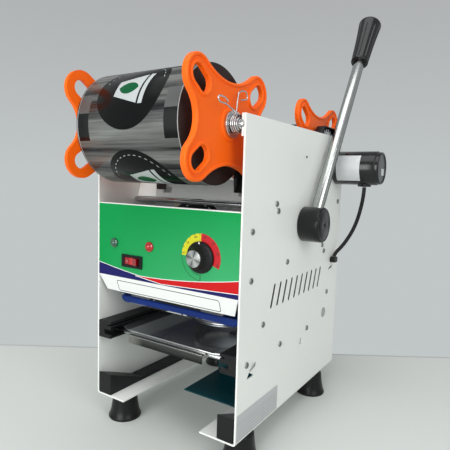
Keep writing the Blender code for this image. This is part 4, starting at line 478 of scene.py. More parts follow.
def stand(form, place, turn=(0, 0, 0)):
    """Turns a bmesh and moves its origin to a place."""
    matrix = Matrix.Translation(place) @ Euler(turn).to_matrix().to_4x4()
    bmesh.ops.transform(form, matrix=matrix, verts=form.verts)
    return form


def add_to(form, other):
    """Adds another bmesh's faces to a bmesh and frees the other."""
    mesh = bpy.data.meshes.new("carrier")
    other.to_mesh(mesh)
    other.free()
    form.from_mesh(mesh)
    bpy.data.meshes.remove(mesh)
    return form


def filled(loops):
    """A flat face in local XY inside an outline and outside its holes."""
    form = bmesh.new()
    for loop in loops:
        points = [form.verts.new((x, y, 0)) for x, y in loop]
        for pair in zip(points, points[1:] + points[:1]):
            form.edges.new(pair)
    bmesh.ops.triangle_fill(form, use_beauty=True, use_dissolve=False, edges=form.edges)
    return form


def thicken(form, thickness):
    """Gives a flat bmesh its thickness up along local Z."""
    bmesh.ops.recalc_face_normals(form, faces=form.faces)
    if sum(face.normal.z for face in form.faces) < 0:
        bmesh.ops.reverse_faces(form, faces=form.faces)
    lower = form.faces[:]
    raised = bmesh.ops.extrude_face_region(form, geom=lower, use_keep_orig=True)
    top = [part for part in raised["geom"] if isinstance(part, bmesh.types.BMVert)]
    bmesh.ops.translate(form, vec=(0, 0, thickness), verts=top)
    bmesh.ops.reverse_faces(form, faces=lower)
    return form


def spread(first, last, count):
    """Evenly spaced values, with both ends."""
    return [first + (last - first) * index / (count - 1) for index in range(count)]


def arc(center, radius, start, end, segments):
    """Points of a flat arc, with both its ends."""
    x, y = center
    angles = spread(start, end, segments + 1)
    return [(x + radius * math.cos(angle), y + radius * math.sin(angle)) for angle in angles]


def circle(center, radius, segments=64):
    return arc(center, radius, 0, WHOLE_TURN, segments)[:-1]


def cross_outline():
    """The twelve corners of the recess."""
    side, end = CROSS_HALF_WIDTH, CROSS_REACH
    half = [(end, -side), (end, side), (side, side), (side, end), (-side, end), (-side, side)]
    return half + [(-x, -y) for x, y in half]


def pan_head():
    """A head about local Z: domed side, flat crown and a cross sunk into the crown."""
    crown = CROWN_SHARE * SCREW_RADIUS
    rim = RIM_SHARE * SCREW_RISE
    side = arc((crown, rim), SCREW_RADIUS - crown, 0, math.pi / 2, 4)
    rise = (SCREW_RISE - rim) / (SCREW_RADIUS - crown)
    profile = [(radius, rim + (height - rim) * rise) for radius, height in side]
    form = turned([(SCREW_RADIUS, 0)] + profile, 24)
    top = stand(filled([circle((0, 0), crown, 24), cross_outline()]), Vector((0, 0, SCREW_RISE)))
    add_to(form, top)
    well = thicken(filled([cross_outline()]), CROSS_DEPTH)
    lid = [face for face in well.faces if face.calc_center_median().z > 0.99 * CROSS_DEPTH]
    bmesh.ops.delete(well, geom=lid, context="FACES")
    add_to(form, stand(well, Vector((0, 0, SCREW_RISE - CROSS_DEPTH))))
    bmesh.ops.remove_doubles(form, verts=form.verts, dist=WELD)
    bmesh.ops.recalc_face_normals(form, faces=form.faces)
    return form


heads = bmesh.new()
flush_heads = bmesh.new()
recess_shades = bmesh.new()
for y, z in SCREW_PLACES:
    add_to(heads, stand(pan_head(), spot(half_width, y, z), ALONG_X))
    left_place = spot(-half_width, y, z)
    crown = thicken(filled([circle((0, 0), SCREW_RADIUS, 24), cross_outline()]), FLUSH_RISE)
    add_to(flush_heads, stand(crown, left_place, ALONG_MINUS_X))
    # The left heads' cross recess is a thin black cross under the crown's cross hole: painted
    # shade.
    recess = thicken(filled([cross_outline()]), FLUSH_RISE / 3)
    add_to(recess_shades, stand(recess, left_place, ALONG_MINUS_X))
piece(heads, "panel_screws_right", "frame", zinc)
piece(flush_heads, "panel_screws_left", "frame", zinc)
piece(recess_shades, "screw_recess_shades_left", "frame", black_matte_and_shade)


# Small fittings of the right panel: a grey hole plug, a black button, a bent steel leaf over the
# three-cornered hole and a bare silver data plate with ruled lines only.
PLUG_PLACE = (0.2815, 0.1084)
PLUG_PROFILE = (
    (0, 0.0007), (0.0058, 0.0007), (0.0062, 0.0014), (0.0079, 0.0012),
    (0.0086, 0), (0.0055, 0), (0.0055, -0.004), (0, -0.004),
)
BUTTON_PLACE = (0.1798, 0.3692)
BUTTON_RADIUS = 0.0017
BUTTON_SPAN = (-0.001, 0.0009)
LEAF_CORNERS = ((0.0290, 0.0882), (0.0392, 0.0935), (0.0402, 0.0985))
LEAF_THICKNESS = 0.0008
LEAF_LEAN = math.radians(-12)
THIN_EDGE = 0.0001
PLATE_LOW = (0.0018, 0.0045)
PLATE_HIGH = (0.1130, 0.0400)
PLATE_THICKNESS = 0.0003
RULE_PITCH = 0.0042
RULE_HALF = 0.00025
RULE_BLUR = 0.0002
RULES_TOP = 0.0320
COLUMN_LINE = 0.0700

grey_plug = Finish("grey_plug", (0.36, 0.375, 0.36), 0.45, slot="white_paint")
grey_plug.weather(500, (0.38, 0.55))
plug = soften(turned(PLUG_PROFILE, 48), SMALL_EDGE)
piece(stand(plug, spot(half_width, *PLUG_PLACE), ALONG_X), "hole_plug", "frame", grey_plug)

button = soften(round_bar(BUTTON_RADIUS, *BUTTON_SPAN, 24), SMALL_EDGE)
piece(stand(button, spot(half_width, *BUTTON_PLACE), ALONG_X), "panel_button", "frame", black_matte_and_shade)

leaf = soften(thicken(filled([LEAF_CORNERS]), LEAF_THICKNESS), THIN_EDGE)
leaf_turn = Matrix.Rotation(LEAF_LEAN, 3, "Y")
bmesh.ops.rotate(leaf, cent=(*LEAF_CORNERS[0], 0), matrix=leaf_turn, verts=leaf.verts)
piece(stand(leaf, spot(half_width + THIN_EDGE, 0, 0), ALONG_X), "bent_leaf", "frame", zinc)

silver_plate = Finish("silver_plate", (0.42, 0.43, 0.45), 0.38, 0.25, slot="aluminium")
plate_y, plate_z = silver_plate.axes(silver_plate.place(datum))[1:]
grain = silver_plate.noise(silver_plate.place(datum, stretch=(1, 1, 40)), 160)
rows = (plate_z - RULES_TOP).wrapped(RULE_PITCH).size().under(RULE_HALF, RULE_BLUR)
column = (plate_y - COLUMN_LINE).size().under(RULE_HALF, RULE_BLUR)
rules = rows.most(column) * plate_z.under(RULES_TOP)
plate_color = silver_plate.mix(grain, (0.46, 0.47, 0.48), (0.60, 0.61, 0.62))
silver_plate.paint(plate_color, (rules * 0.7, (0.14, 0.14, 0.15)))
silver_plate.wear(grain, 0.30, 0.5)
plate_corner = spot(half_width + PLATE_THICKNESS, *PLATE_HIGH)
plate = block(spot(half_width, *PLATE_LOW), plate_corner, THIN_EDGE)
piece(plate, "data_plate", "frame", silver_plate)


# Control panel: green printed face over a folded white strip. The print is a film whose swooshes
# and lines follow curves across the panel; the strip carries an empty outlined box.
PRINT_GREEN = (0.001, 0.310, 0.078)
PRINT_DEEP_GREEN = (0.001, 0.255, 0.052)
PRINT_SHEEN = (0.060, 0.400, 0.165)
PRINT_NAVY = (0.010, 0.010, 0.105)
PRINT_RED = (0.53, 0.008, 0.010)
PRINT_WHITE = (0.81, 0.83, 0.81)
PRINT_LINE = (0.02, 0.02, 0.025)
FACE_TOP = 0.294
FACE_FOLD = 0.1875
FACE_BORDER = 0.0014
SWOOSH_LINE = 0.0009
NAVY_LOW = 0.1906
NAVY_RISE = 0.0142
NAVY_REACH = 0.1215
NAVY_BEND = 1.35
RED_START = -0.048
RED_LOW = 0.1938
RED_RISE = 0.0163
RED_REACH = 0.171
RED_BEND = 2.0
RED_FOOT = 0.1888
RED_SLOPES = (0.1065, 0.0453)
SHEEN_HEIGHT = 0.10
SHEEN_START = -0.110
SHEEN_REACH = 0.20
SHEEN_DEPTH = 0.8
BOX_CENTER = (0.003, 0.1733)
BOX_HALF = (0.090, 0.0078)
BOX_CORNER = 0.0030
BOX_LINE = 0.00050

print_film = Finish("printed_film", PRINT_GREEN, 0.3, slot="green_print")
print_x, print_y, print_z = print_film.axes(print_film.place(datum))
left_of_middle = (-print_x).most(0)
right_of_middle = print_x.most(0)
from_start = (print_x - RED_START).most(0)
navy_top = (left_of_middle / NAVY_REACH) ** NAVY_BEND * NAVY_RISE + NAVY_LOW
red_top = (from_start / RED_REACH) ** RED_BEND * RED_RISE + RED_LOW
red_bottom = left_of_middle * RED_SLOPES[0] + right_of_middle * RED_SLOPES[1] + RED_FOOT
right_of_start = print_x.over(RED_START)
swoosh_top = navy_top.most(red_top * right_of_start)
below_green = print_z.under(swoosh_top + SWOOSH_LINE)
below_line = print_z.under(swoosh_top)
in_red = print_z.within(red_bottom, red_top) * right_of_start
in_line = print_z.within(red_bottom - SWOOSH_LINE, red_bottom) * right_of_start
in_strip = print_z.under(FACE_FOLD - 0.0002)
box_x = ((print_x - BOX_CENTER[0]).size() - (BOX_HALF[0] - BOX_CORNER)).most(0)
box_z = ((print_z - BOX_CENTER[1]).size() - (BOX_HALF[1] - BOX_CORNER)).most(0)
box_ring = box_x.reach(box_z).within(BOX_CORNER - BOX_LINE, BOX_CORNER + BOX_LINE, 0.0002)
green_tone = print_film.noise(print_film.place(datum), 5, 2)
# Painted sheen: the green pales towards the lower right of the face, a painted reflection.
sheen_low = ((FACE_TOP - print_z) / SHEEN_HEIGHT).clamped()
sheen_right = ((print_x - SHEEN_START) / SHEEN_REACH).clamped()
sheet_edge = print_z.over(FACE_TOP - FACE_BORDER)
behind_face = print_y.over(0.0012) * print_z.over(FACE_FOLD + 0.001)
print_film.paint(
    print_film.mix(green_tone, PRINT_DEEP_GREEN, PRINT_GREEN),
    (sheen_low * sheen_right * SHEEN_DEPTH, PRINT_SHEEN), (below_green, PRINT_WHITE),
    (below_line, PRINT_NAVY), (in_line, PRINT_WHITE), (in_red, PRINT_RED), (in_strip, PRINT_WHITE),
    (box_ring * in_strip, PRINT_LINE), (sheet_edge.most(behind_face), PRINT_WHITE),
)
print_film.wear(green_tone, 0.30, 0.42)
print_film.set(Specular_IOR_Level=0.18)
print_film.bump(print_film.noise(print_film.place(datum), 1400, 1), 0.00003, 0.25)
softened("front_panel", "frame", print_film, SMALL_EDGE)


# Dial print round the knob: a yellow and a red sector, a thin outline for the rest, ticks and
# plain numbers. Each mark is a film a tenth of a millimetre thick on the face.
DIAL_CENTER = (0.065, 0.233)
DIAL_OUTER = 0.0305
DIAL_INNER = 0.0230
MARK_THICKNESS = 0.00012
DIAL_LINE = 0.0005
DIAL_NUMBERS = (0, 50, 100, 150, 200, 250, 300)
NUMBER_HEIGHT = 0.0036
TICK_COUNT = 13
TICK_LENGTH = 0.0018
TICK_HALF = 0.02
SECTOR_LAP = 0.003
RED_END = 15.8
TICK_HOURS = (9.2, RED_END - 0.2)
NUMBER_HOURS = (9.25, RED_END - 0.25)
TOWARD_FRONT = (math.pi / 2, 0, 0)


def ink(name, color):
    made = Finish(name, color, 0.35, slot="green_print")
    made.weather(1400, (0.3, 0.4), detail=1, place=made.place(datum))
    return made


ink_yellow = ink("yellow_ink", (0.62, 0.60, 0.012))
ink_red = ink("red_ink", (0.50, 0.006, 0.012))
ink_black = ink("black_ink", (0.012, 0.014, 0.013))


def sector(inner, outer, start, end, steps=24):
    """A flat band about local Z between two angles, as thick as a mark."""
    form = bmesh.new()
    points = [form.verts.new((radius, 0, 0)) for radius in (inner, outer)]
    edge = form.edges.new(points)
    bmesh.ops.rotate(form, matrix=Matrix.Rotation(start, 3, "Z"), verts=form.verts)
    bmesh.ops.spin(
        form, geom=points + [edge], cent=(0, 0, 0), axis=(0, 0, 1),
        angle=end - start, steps=steps, use_duplicate=False,
    )
    return thicken(form, MARK_THICKNESS)


def on_face(form, x, z, rise=0.0):
    return stand(form, spot(x, -rise, z), TOWARD_FRONT)


def clock(hours):
    """The angle of a clock hand, measured from local X."""
    return math.pi / 2 - hours * math.pi / 6


for name, finish, first, last in (("yellow", ink_yellow, 9, 12), ("red", ink_red, 12, RED_END)):
    form = sector(DIAL_INNER - SECTOR_LAP, DIAL_OUTER, clock(last), clock(first))
    piece(on_face(form, *DIAL_CENTER), "dial_" + name, "frame", finish)

outline = sector(DIAL_OUTER - DIAL_LINE, DIAL_OUTER, clock(9), clock(6))
add_to(outline, sector(DIAL_INNER, DIAL_INNER + DIAL_LINE, clock(9), clock(6)))
add_to(outline, sector(DIAL_INNER, DIAL_OUTER, clock(6.05), clock(5.99), 2))
piece(on_face(outline, *DIAL_CENTER), "dial_outline", "frame", ink_black)

ticks = bmesh.new()
for hours in spread(*TICK_HOURS, TICK_COUNT):
    first, last = clock(hours + TICK_HALF), clock(hours - TICK_HALF)
    add_to(ticks, sector(DIAL_OUTER - TICK_LENGTH, DIAL_OUTER, first, last, 2))
piece(on_face(ticks, *DIAL_CENTER, MARK_THICKNESS), "dial_ticks", "frame", ink_black)


def meshed(curve):
    """The mesh of a curve or text as a welded bmesh."""
    item = bpy.data.objects.new("carrier", curve)
    bpy.context.scene.collection.objects.link(item)
    bpy.context.view_layer.update()
    settled = item.evaluated_get(bpy.context.evaluated_depsgraph_get())
    mesh = bpy.data.meshes.new_from_object(settled)
    bpy.data.objects.remove(item)
    form = bmesh.new()
    form.from_mesh(mesh)
    bpy.data.meshes.remove(mesh)
    bmesh.ops.remove_doubles(form, verts=form.verts, dist=WELD / 10)
    return form


def lettered(text, height):
    """Characters as a thin mesh in local XY, centred on the origin."""
    curve = bpy.data.curves.new("letters", "FONT")
    curve.body = text
    curve.size = height
    curve.align_x = "CENTER"
    curve.align_y = "CENTER"
    curve.resolution_u = 3
    curve.extrude = MARK_THICKNESS / 2
    return meshed(curve)


numbers = bmesh.new()
number_ring = DIAL_OUTER - TICK_LENGTH - 0.6 * NUMBER_HEIGHT
for value, hours in zip(DIAL_NUMBERS, spread(*NUMBER_HOURS, len(DIAL_NUMBERS))):
    form = lettered(str(value), NUMBER_HEIGHT)
    number_turn = Matrix.Rotation(clock(hours) - math.pi / 2, 3, "Z")
    bmesh.ops.translate(form, vec=(0, number_ring, 0), verts=form.verts)
    bmesh.ops.rotate(form, matrix=number_turn, verts=form.verts)
    add_to(numbers, form)
piece(on_face(numbers, *DIAL_CENTER, 1.5 * MARK_THICKNESS), "dial_numbers", "frame", ink_black)


# Knob: a black moulded body that narrows from its skirt to a spun silver cap, with fine ribs and
# a white pointer on the skirt. It is pushed on the thermostat's spindle.
KNOB_RADIUS = 0.0205
KNOB_RIBS = 36
KNOB_RIB_SHARE = 0.045
KNOB_RIB_SPAN = (0.0040, 0.0150)
KNOB_CAP = 0.0112
KNOB_CAP_FOOT = 0.0155
KNOB_CAP_EDGE = 0.0002
KNOB_HEIGHT = 0.0163
KNOB_GAP = 0.0004
SPUN_LINES = 9000
POINTER_OUTLINE = ((-0.0011, 0.0175), (0.0011, 0.0175), (0.0003, 0.0203), (-0.0003, 0.0203))
POINTER_THICKNESS = 0.0011
POINTER_DEPTH = 0.0032
KNOB_PROFILE = (
    (0, 0.0157), (0.0113, 0.0157), (0.0119, 0.0151), (0.0127, 0.0118), (0.0137, 0.0090),
    (0.0152, 0.0062), (0.0172, 0.0044), (0.0192, 0.0036), (KNOB_RADIUS - 0.0004, 0.0030),
    (KNOB_RADIUS, 0.0025), (KNOB_RADIUS, 0.0001), (0.003, 0.0001), (0.003, -0.0134), (0, -0.0134),
)


def moulded(name, slot, tones, roughness, per_metre, shine, grain, detail=3):
    """A plastic, rubber or paint of uneven roughness and little shine, with a fine grain."""
    made = Finish(name, tones[1], roughness[1], slot=slot)
    made.weather(per_metre, roughness, tones, detail)
    made.set(Specular_IOR_Level=shine)
    made.grain(*grain)
    return made


black_mould = moulded(
    "black_mould", "black_plastic", ((0.006, 0.006, 0.007), (0.012, 0.012, 0.013)),
    (0.32, 0.48), 60, 0.2, (1600, 0.00005, 0.4),
)

knob_axis = spot(DIAL_CENTER[0], -KNOB_GAP, DIAL_CENTER[1])
knob = turned(KNOB_PROFILE, 6 * KNOB_RIBS)
low, high = KNOB_RIB_SPAN
for vertex in knob.verts:
    if low < vertex.co.z < high and vertex.co.xy.length > KNOB_CAP:
        rib = 0.5 + 0.5 * math.cos(KNOB_RIBS * math.atan2(vertex.co.y, vertex.co.x))
        vertex.co.xy *= 1 - KNOB_RIB_SHARE * rib
piece(stand(knob, knob_axis, TOWARD_FRONT), "knob_skirt", "knob", black_mould, ("thermostat_knob",))

spun_silver = Finish("spun_silver", (0.72, 0.73, 0.74), 0.3, 0.9, slot="aluminium")
spun_x, spun_z = spun_silver.axes(spun_silver.place(knob_axis))[::2]
# Light and dark rays about the cap's middle are a painted reflection of its spun finish.
spun_highlight_rays = (spun_z.math("ARCTAN2", spun_x) * 2 + 0.6).math("SINE").size()
spun_silver.paint(spun_silver.mix(spun_highlight_rays, (0.17, 0.18, 0.18), (0.52, 0.54, 0.53)))
spun_silver.wear(spun_highlight_rays, 0.24, 0.38)
spun_silver.bump((spun_x.reach(spun_z) * SPUN_LINES).math("SINE"), 0.00002, 0.3)
cap = soften(turned((
    (0, KNOB_HEIGHT), (KNOB_CAP - 0.0005, KNOB_HEIGHT),
    (KNOB_CAP, KNOB_CAP_FOOT), (0, KNOB_CAP_FOOT),
), 96), KNOB_CAP_EDGE)
piece(stand(cap, knob_axis, TOWARD_FRONT), "knob_cap", "knob", spun_silver)

white_line = Finish("white_line", (0.82, 0.82, 0.80), 0.5, slot="white_paint")
white_line.weather(900, (0.4, 0.55), detail=2)
pointer = thicken(filled([POINTER_OUTLINE]), POINTER_THICKNESS)
pointer_place = knob_axis - Vector((0, POINTER_DEPTH, 0))
piece(stand(pointer, pointer_place, TOWARD_FRONT), "knob_pointer", "knob", white_line)


# Lamps: a tinted lens with a plain ring round its foot on a short stem, green for heating and red
# for power, pushed through the panel from the front.
LENS_GAP = 0.0003
LENS_PROFILE = (
    (0, 0.0058), (0.0012, 0.0057), (0.0024, 0.0053), (0.0034, 0.0047), (0.0042, 0.0038),
    (0.0047, 0.0028), (0.0050, 0.0024), (0.0064, 0.0022), (0.0068, 0.0018), (0.0068, 0.0002),
    (0.0048, 0), (0.0048, -0.0155), (0, -0.0155),
)


def lens_finish(name, dark, bright):
    made = Finish(name, bright, 0.12, slot="lamp_" + name.split("_")[0])
    made.weather(420, (0.06, 0.2), (dark, bright), 1)
    made.set(Coat_Weight=0.5)
    return made


lens_finishes = {
    "green": lens_finish("green_lens", (0.004, 0.035, 0.018), (0.05, 0.16, 0.10)),
    "red": lens_finish("red_lens", (0.20, 0.004, 0.005), (0.62, 0.010, 0.012)),
}
for name, lens in lens_finishes.items():
    low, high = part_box("lamp_" + name)
    axis = Vector(((low.x + high.x) / 2, datum.y - LENS_GAP, (low.z + high.z) / 2))
    dome = turned(LENS_PROFILE, 48)
    piece(stand(dome, axis, TOWARD_FRONT), "lamp_lens_" + name, "frame", lens, ("lamp_" + name,))


# Rocker switch: black rim and well, and a clear red rocker that glows where its lamp sits. A line
# and a circle stand on its two halves, which are bent away from each other.
ROCKER_MARK = 0.0052
ROCKER_MARKS = (("line", "I", -1, 0.0015), ("circle", "O", 1, 0.0059))
ROCKER_MARK_SHARE = 0.46
ROCKER_TIP = math.radians(8)
ROCKER_BEND = math.radians(8.4)
ROCKER_EDGE = 0.0005
ROCKER_GLOW = 0.0022
ROCKER_GLOW_BLUR = 0.006
rocker_low, rocker_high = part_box("power_rocker")
rocker_middle = (rocker_low + rocker_high) / 2

rocker_red = Finish("rocker_red", (0.55, 0.010, 0.014), 0.25, slot="lamp_red")
rocker_x = rocker_red.axes(rocker_red.place(rocker_middle))[0]
rocker_glow = rocker_x.size().under(ROCKER_GLOW, ROCKER_GLOW_BLUR)
rocker_red.paint((0.26, 0.004, 0.007), (rocker_glow, (0.60, 0.020, 0.022)))
rocker_red.weather(300, (0.16, 0.3), detail=2)
rocker_red.set(Coat_Weight=0.4)
softened("rocker_bezel", "frame", black_mould, EDGE)
softened("power_rocker", "rocker", rocker_red, ROCKER_EDGE)

for mark, text, side, depth in ROCKER_MARKS:
    form = lettered(text, ROCKER_MARK)
    reach = side * ROCKER_MARK_SHARE * (rocker_high.x - rocker_middle.x)
    place = Vector((rocker_middle.x + reach, rocker_low.y + depth, rocker_middle.z))
    lean = (math.pi / 2, 0, side * ROCKER_BEND - ROCKER_TIP)
    piece(stand(form, place, lean), "rocker_" + mark, "rocker", white_line)


# Feet: moulded black rubber cones, flared to the table, with a lip and a blind hole for the bolt.
# Their profile is stated in shares of the foot's base radius and of its height.
FOOT_SHARES = (
    (0.0, 1.0), (0.70, 1.0), (0.735, 0.985), (0.76, 0.90), (0.80, 0.62),
    (0.86, 0.36), (0.94, 0.14), (0.985, 0.105), (1.0, 0.075), (1.0, 0.03),
    (0.975, 0.0), (0.2, 0.0), (0.2, 0.45), (0.0, 0.45),
)

foot_rubber = moulded(
    "foot_rubber", "black_rubber", ((0.005, 0.006, 0.006), (0.011, 0.012, 0.012)),
    (0.26, 0.42), 45, 0.22, (1100, 0.00006, 0.4), 4,
)

for row in ("front", "rear"):
    for hand in ("left", "right"):
        node = "foot_" + row + "_" + hand
        low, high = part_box(node)
        base = (high.x - low.x) / 2
        axis = Vector(((low.x + high.x) / 2, (low.y + high.y) / 2, low.z))
        form = turned([(base * out, (high.z - low.z) * up) for out, up in FOOT_SHARES], 72)
        remade(stand(form, axis), node, "frame", foot_rubber)


# Rails: black painted steel bars, screwed to the insides of the side panels. The upper pair
# carries the tray and the lower pair is a ramp.
black_coat = moulded(
    "black_coat", "black_paint", ((0.006, 0.007, 0.007), (0.016, 0.017, 0.018)),
    (0.36, 0.54), 35, 0.2, (1300, 0.00005, 0.4), 4,
)
for hand in ("left", "right"):
    softened("tray_rail_" + hand, "frame", black_coat, EDGE)
    softened("ramp_rail_" + hand, "frame", black_coat, EDGE)


# Tray: dark polished stainless plate with a painted highlight on its cut edge, its folded pull with
# painted light and shade, two cross axles and the loose ring that carries the cup.
TRAY_TOP = 0.105
TRAY_EDGE = (0.0019, 0.0001)
PULL_TOP = 0.1027
PULL_BOTTOM = 0.0905
PULL_HIGHLIGHT = 0.0012
PULL_REFLECTION_END = -0.048

mirror_steel = Finish("mirror_steel", (0.60, 0.61, 0.63), 0.12, 0.88, slot="dark_mirror")
mirror_z = mirror_steel.axes(mirror_steel.place(datum))[2]
mirror_tone = mirror_steel.noise(mirror_steel.place(datum, stretch=(1, 12, 1)), 30, 4)
mirror_color = mirror_steel.mix(mirror_tone, (0.34, 0.36, 0.38), (0.58, 0.60, 0.63))
# Painted highlight: a bright band along the plate's cut edge, just below its top.
rim_highlight = mirror_z.within(*(TRAY_TOP - depth for depth in TRAY_EDGE))
mirror_steel.paint(mirror_color, (rim_highlight, (0.80, 0.81, 0.81)))
mirror_steel.wear(mirror_tone, 0.06, 0.13)

pull_steel = Finish("pull_steel", (0.30, 0.31, 0.31), 0.25, 1.0, slot="aluminium")
pull_x, pull_z = pull_steel.axes(pull_steel.place(datum))[::2]
# The pull is painted darker towards its bottom as painted shade, with a painted highlight along its
# top edge and a painted pale reflection at its left end.
pull_share = ((pull_z - PULL_BOTTOM) / (PULL_TOP - PULL_BOTTOM)).clamped()
pull_grain = pull_steel.noise(pull_steel.place(datum, stretch=(0.5, 30, 30)), 60)
pull_grain_and_shade = pull_share * pull_grain * 1.6
pull_steel.paint(
    pull_steel.mix(pull_grain_and_shade, (0.022, 0.024, 0.024), (0.13, 0.135, 0.13)),
    (pull_z.over(PULL_TOP - PULL_HIGHLIGHT, PULL_HIGHLIGHT / 2), (0.34, 0.35, 0.34)),
    (pull_x.under(PULL_REFLECTION_END, 0.02) * 0.6, (0.40, 0.40, 0.36)),
)
pull_steel.wear(pull_grain, 0.18, 0.36)

milled = Finish("milled_aluminium", (0.62, 0.63, 0.64), 0.33, 1.0, slot="aluminium")
milled.weather(60, (0.22, 0.46), place=milled.place(stretch=(1, 30, 30)))
chrome = Finish("chrome_plate", (0.78, 0.79, 0.81), 0.1, 1.0, slot="chrome")
chrome.weather(120, (0.12, 0.24), ((0.40, 0.41, 0.42), (0.78, 0.79, 0.79)), 4)
bare_steel = Finish("bare_steel", (0.50, 0.51, 0.53), 0.3, 1.0, slot="steel")
bare_steel.weather(240, (0.2, 0.45), detail=4)
turned_brass = Finish("turned_brass", (0.70, 0.50, 0.20), 0.3, 1.0, slot="brass")
turned_brass.weather(240, (0.2, 0.45), detail=4)

softened("tray_plate", "tray", mirror_steel, SMALL_EDGE)
softened("tray_handle", "tray", pull_steel, SMALL_EDGE)
for node in ("tray_axle_front", "tray_axle_rear"):
    softened(node, "tray", chrome, SMALL_EDGE)
softened("cup_ring", "tray", milled, EDGE)


# Film guide plate and lower shelf: bent sheet still in its blue and dark teal protective film,
# which is stretched over the folds and slightly loose on the flats.
def wrap(name, dark, light, slot):
    made = Finish(name, dark, 0.3, slot=slot)
    made.weather(14, (0.24, 0.40), (dark, light))
    made.set(Coat_Weight=0.05, Specular_IOR_Level=0.22)
    made.bump(made.noise(made.place(stretch=(1, 2.5, 1)), 45, 2), 0.0006, 0.25)
    return made


blue_wrap = wrap("blue_wrap", (0.001, 0.012, 0.095), (0.001, 0.030, 0.22), "blue_film")
teal_wrap = wrap("teal_wrap", (0.001, 0.014, 0.022), (0.001, 0.060, 0.072), "teal_film")
softened("film_guide_plate", "frame", blue_wrap, EDGE)
softened("lower_shelf", "frame", teal_wrap, SMALL_EDGE)


# Press and drive inside the body: machined steel and aluminium, brass bushes in the side panels
# and moulded black covers. The wound return springs keep their full round wire.
TOOTH_EDGE = 0.0002
SERRATION_EDGE = 0.0001
for node in ("press_shaft", "press_pinion"):
    softened(node, "lever", bare_steel, SMALL_EDGE)
softened("head_rack", "head", bare_steel, SMALL_EDGE)
softened("head_carriage", "head", milled, EDGE)
softened("heater_block", "head", milled, EDGE)
softened("cutter_ring", "head", bare_steel, SERRATION_EDGE)
softened("column_bridge", "frame", bare_steel, EDGE)
for hand in ("left", "right"):
    softened("guide_column_" + hand, "frame", chrome, SMALL_EDGE)
    softened("shaft_bush_" + hand, "frame", turned_brass, SMALL_EDGE)
    node = "return_spring_" + hand
    remade(cad_copy(node), node, "frame", bare_steel)
softened("motor_pinion", "motor_rotor", bare_steel, TOOTH_EDGE)
softened("rewind_shaft", "rewind_reel", bare_steel, TOOTH_EDGE)
softened("guide_rod", "frame", chrome, SMALL_EDGE)
for node in ("drive_cover", "power_inlet", "cable_clip"):
    softened(node, "frame", black_mould, EDGE)


# Lever: a glossy black boss with a dimple on the shaft's end, a plated rod that leans back, and a
# fluted black handgrip pressed on the rod.
SHAFT_PLACE = (0.181, 0.269)
LEVER_LEAN = math.radians(32.8)
LEVER_TURN = (-LEVER_LEAN, 0, 0)
FIT_GAP = 0.0003
HUB_RADIUS = 0.0262
HUB_WIDTH = 0.0325
HUB_ROUND = 0.003
HUB_BORE = (0.0083, 0.020)
HUB_RIBS = 4200
ROD_INSET = 0.0142
ROD_RADIUS = 0.0092
ROD_START = 0.0183
ROD_END = 0.3863
GRIP_START = 0.3266
GRIP_END = 0.4255
GRIP_LOW = 0.0148
GRIP_HIGH = 0.01998
GRIP_TOP_EDGE = 0.0060
GRIP_CROWN = 0.0015
GRIP_BULGE = 0.0006
GRIP_BORE = (0.0095, 0.060)
GRIP_FLUTES = 8
GRIP_RINGS = 26
FLUTE_HALF_ANGLE = math.radians(9)
FLUTE_DEPTH = 0.0014
FLUTE_LOW = (0.003, 0.006)
FLUTE_HIGH = (0.004, 0.010)
DARK_REFLECTION_TURN = 1.22
DARK_REFLECTION_REACH = (1.12, 0.22)
HIGHLIGHT_TURN = 0.95
HIGHLIGHT_REACH = 0.16

gloss_black = moulded(
    "gloss_black", "black_plastic", ((0.005, 0.005, 0.006), (0.010, 0.011, 0.011)),
    (0.13, 0.24), 50, 0.4, (300, 0.00006, 0.2),
)

hub_black = Finish("hub_black", (0.006, 0.006, 0.007), 0.18, slot="black_plastic")
hub_x = hub_black.axes(hub_black.place())[0]
hub_black.weather(60, (0.16, 0.26), ((0.004, 0.004, 0.005), (0.008, 0.009, 0.009)))
hub_black.set(Specular_IOR_Level=0.3)
hub_black.bump((hub_x * HUB_RIBS).math("SINE") * 0.5 + 0.5, 0.00006, 0.5)

hub_place = spot(half_width + FIT_GAP, *SHAFT_PLACE)
hub_edge = arc((HUB_RADIUS - HUB_ROUND, HUB_WIDTH - HUB_ROUND), HUB_ROUND, math.pi / 2, 0, 8)
hub_face = [
    (0, HUB_WIDTH - 0.0013), (0.0016, HUB_WIDTH - 0.0011), (0.0036, HUB_WIDTH - 0.0002),
    (0.0045, HUB_WIDTH), (HUB_RADIUS - 0.0046, HUB_WIDTH),
    (HUB_RADIUS - 0.0042, HUB_WIDTH - 0.0004), (HUB_RADIUS - 0.0036, HUB_WIDTH - 0.0001),
]
hub = turned(hub_face + hub_edge + [
    (HUB_RADIUS, 0.0008), (HUB_RADIUS - 0.0008, 0), (HUB_BORE[0], 0), HUB_BORE, (0, HUB_BORE[1]),
], 96)
remade(stand(hub, hub_place, ALONG_X), "lever_hub", "lever", hub_black)

lever_place = hub_place + Vector((ROD_INSET, 0, 0))
upright = (LEVER_LEAN, 0, 0)
plated_rod = Finish("plated_rod", (0.7, 0.71, 0.72), 0.16, 1.0, slot="chrome")
rod_x, rod_y = plated_rod.axes(plated_rod.place(lever_place, upright))[:2]
rod_turn = rod_y.math("ARCTAN2", rod_x)
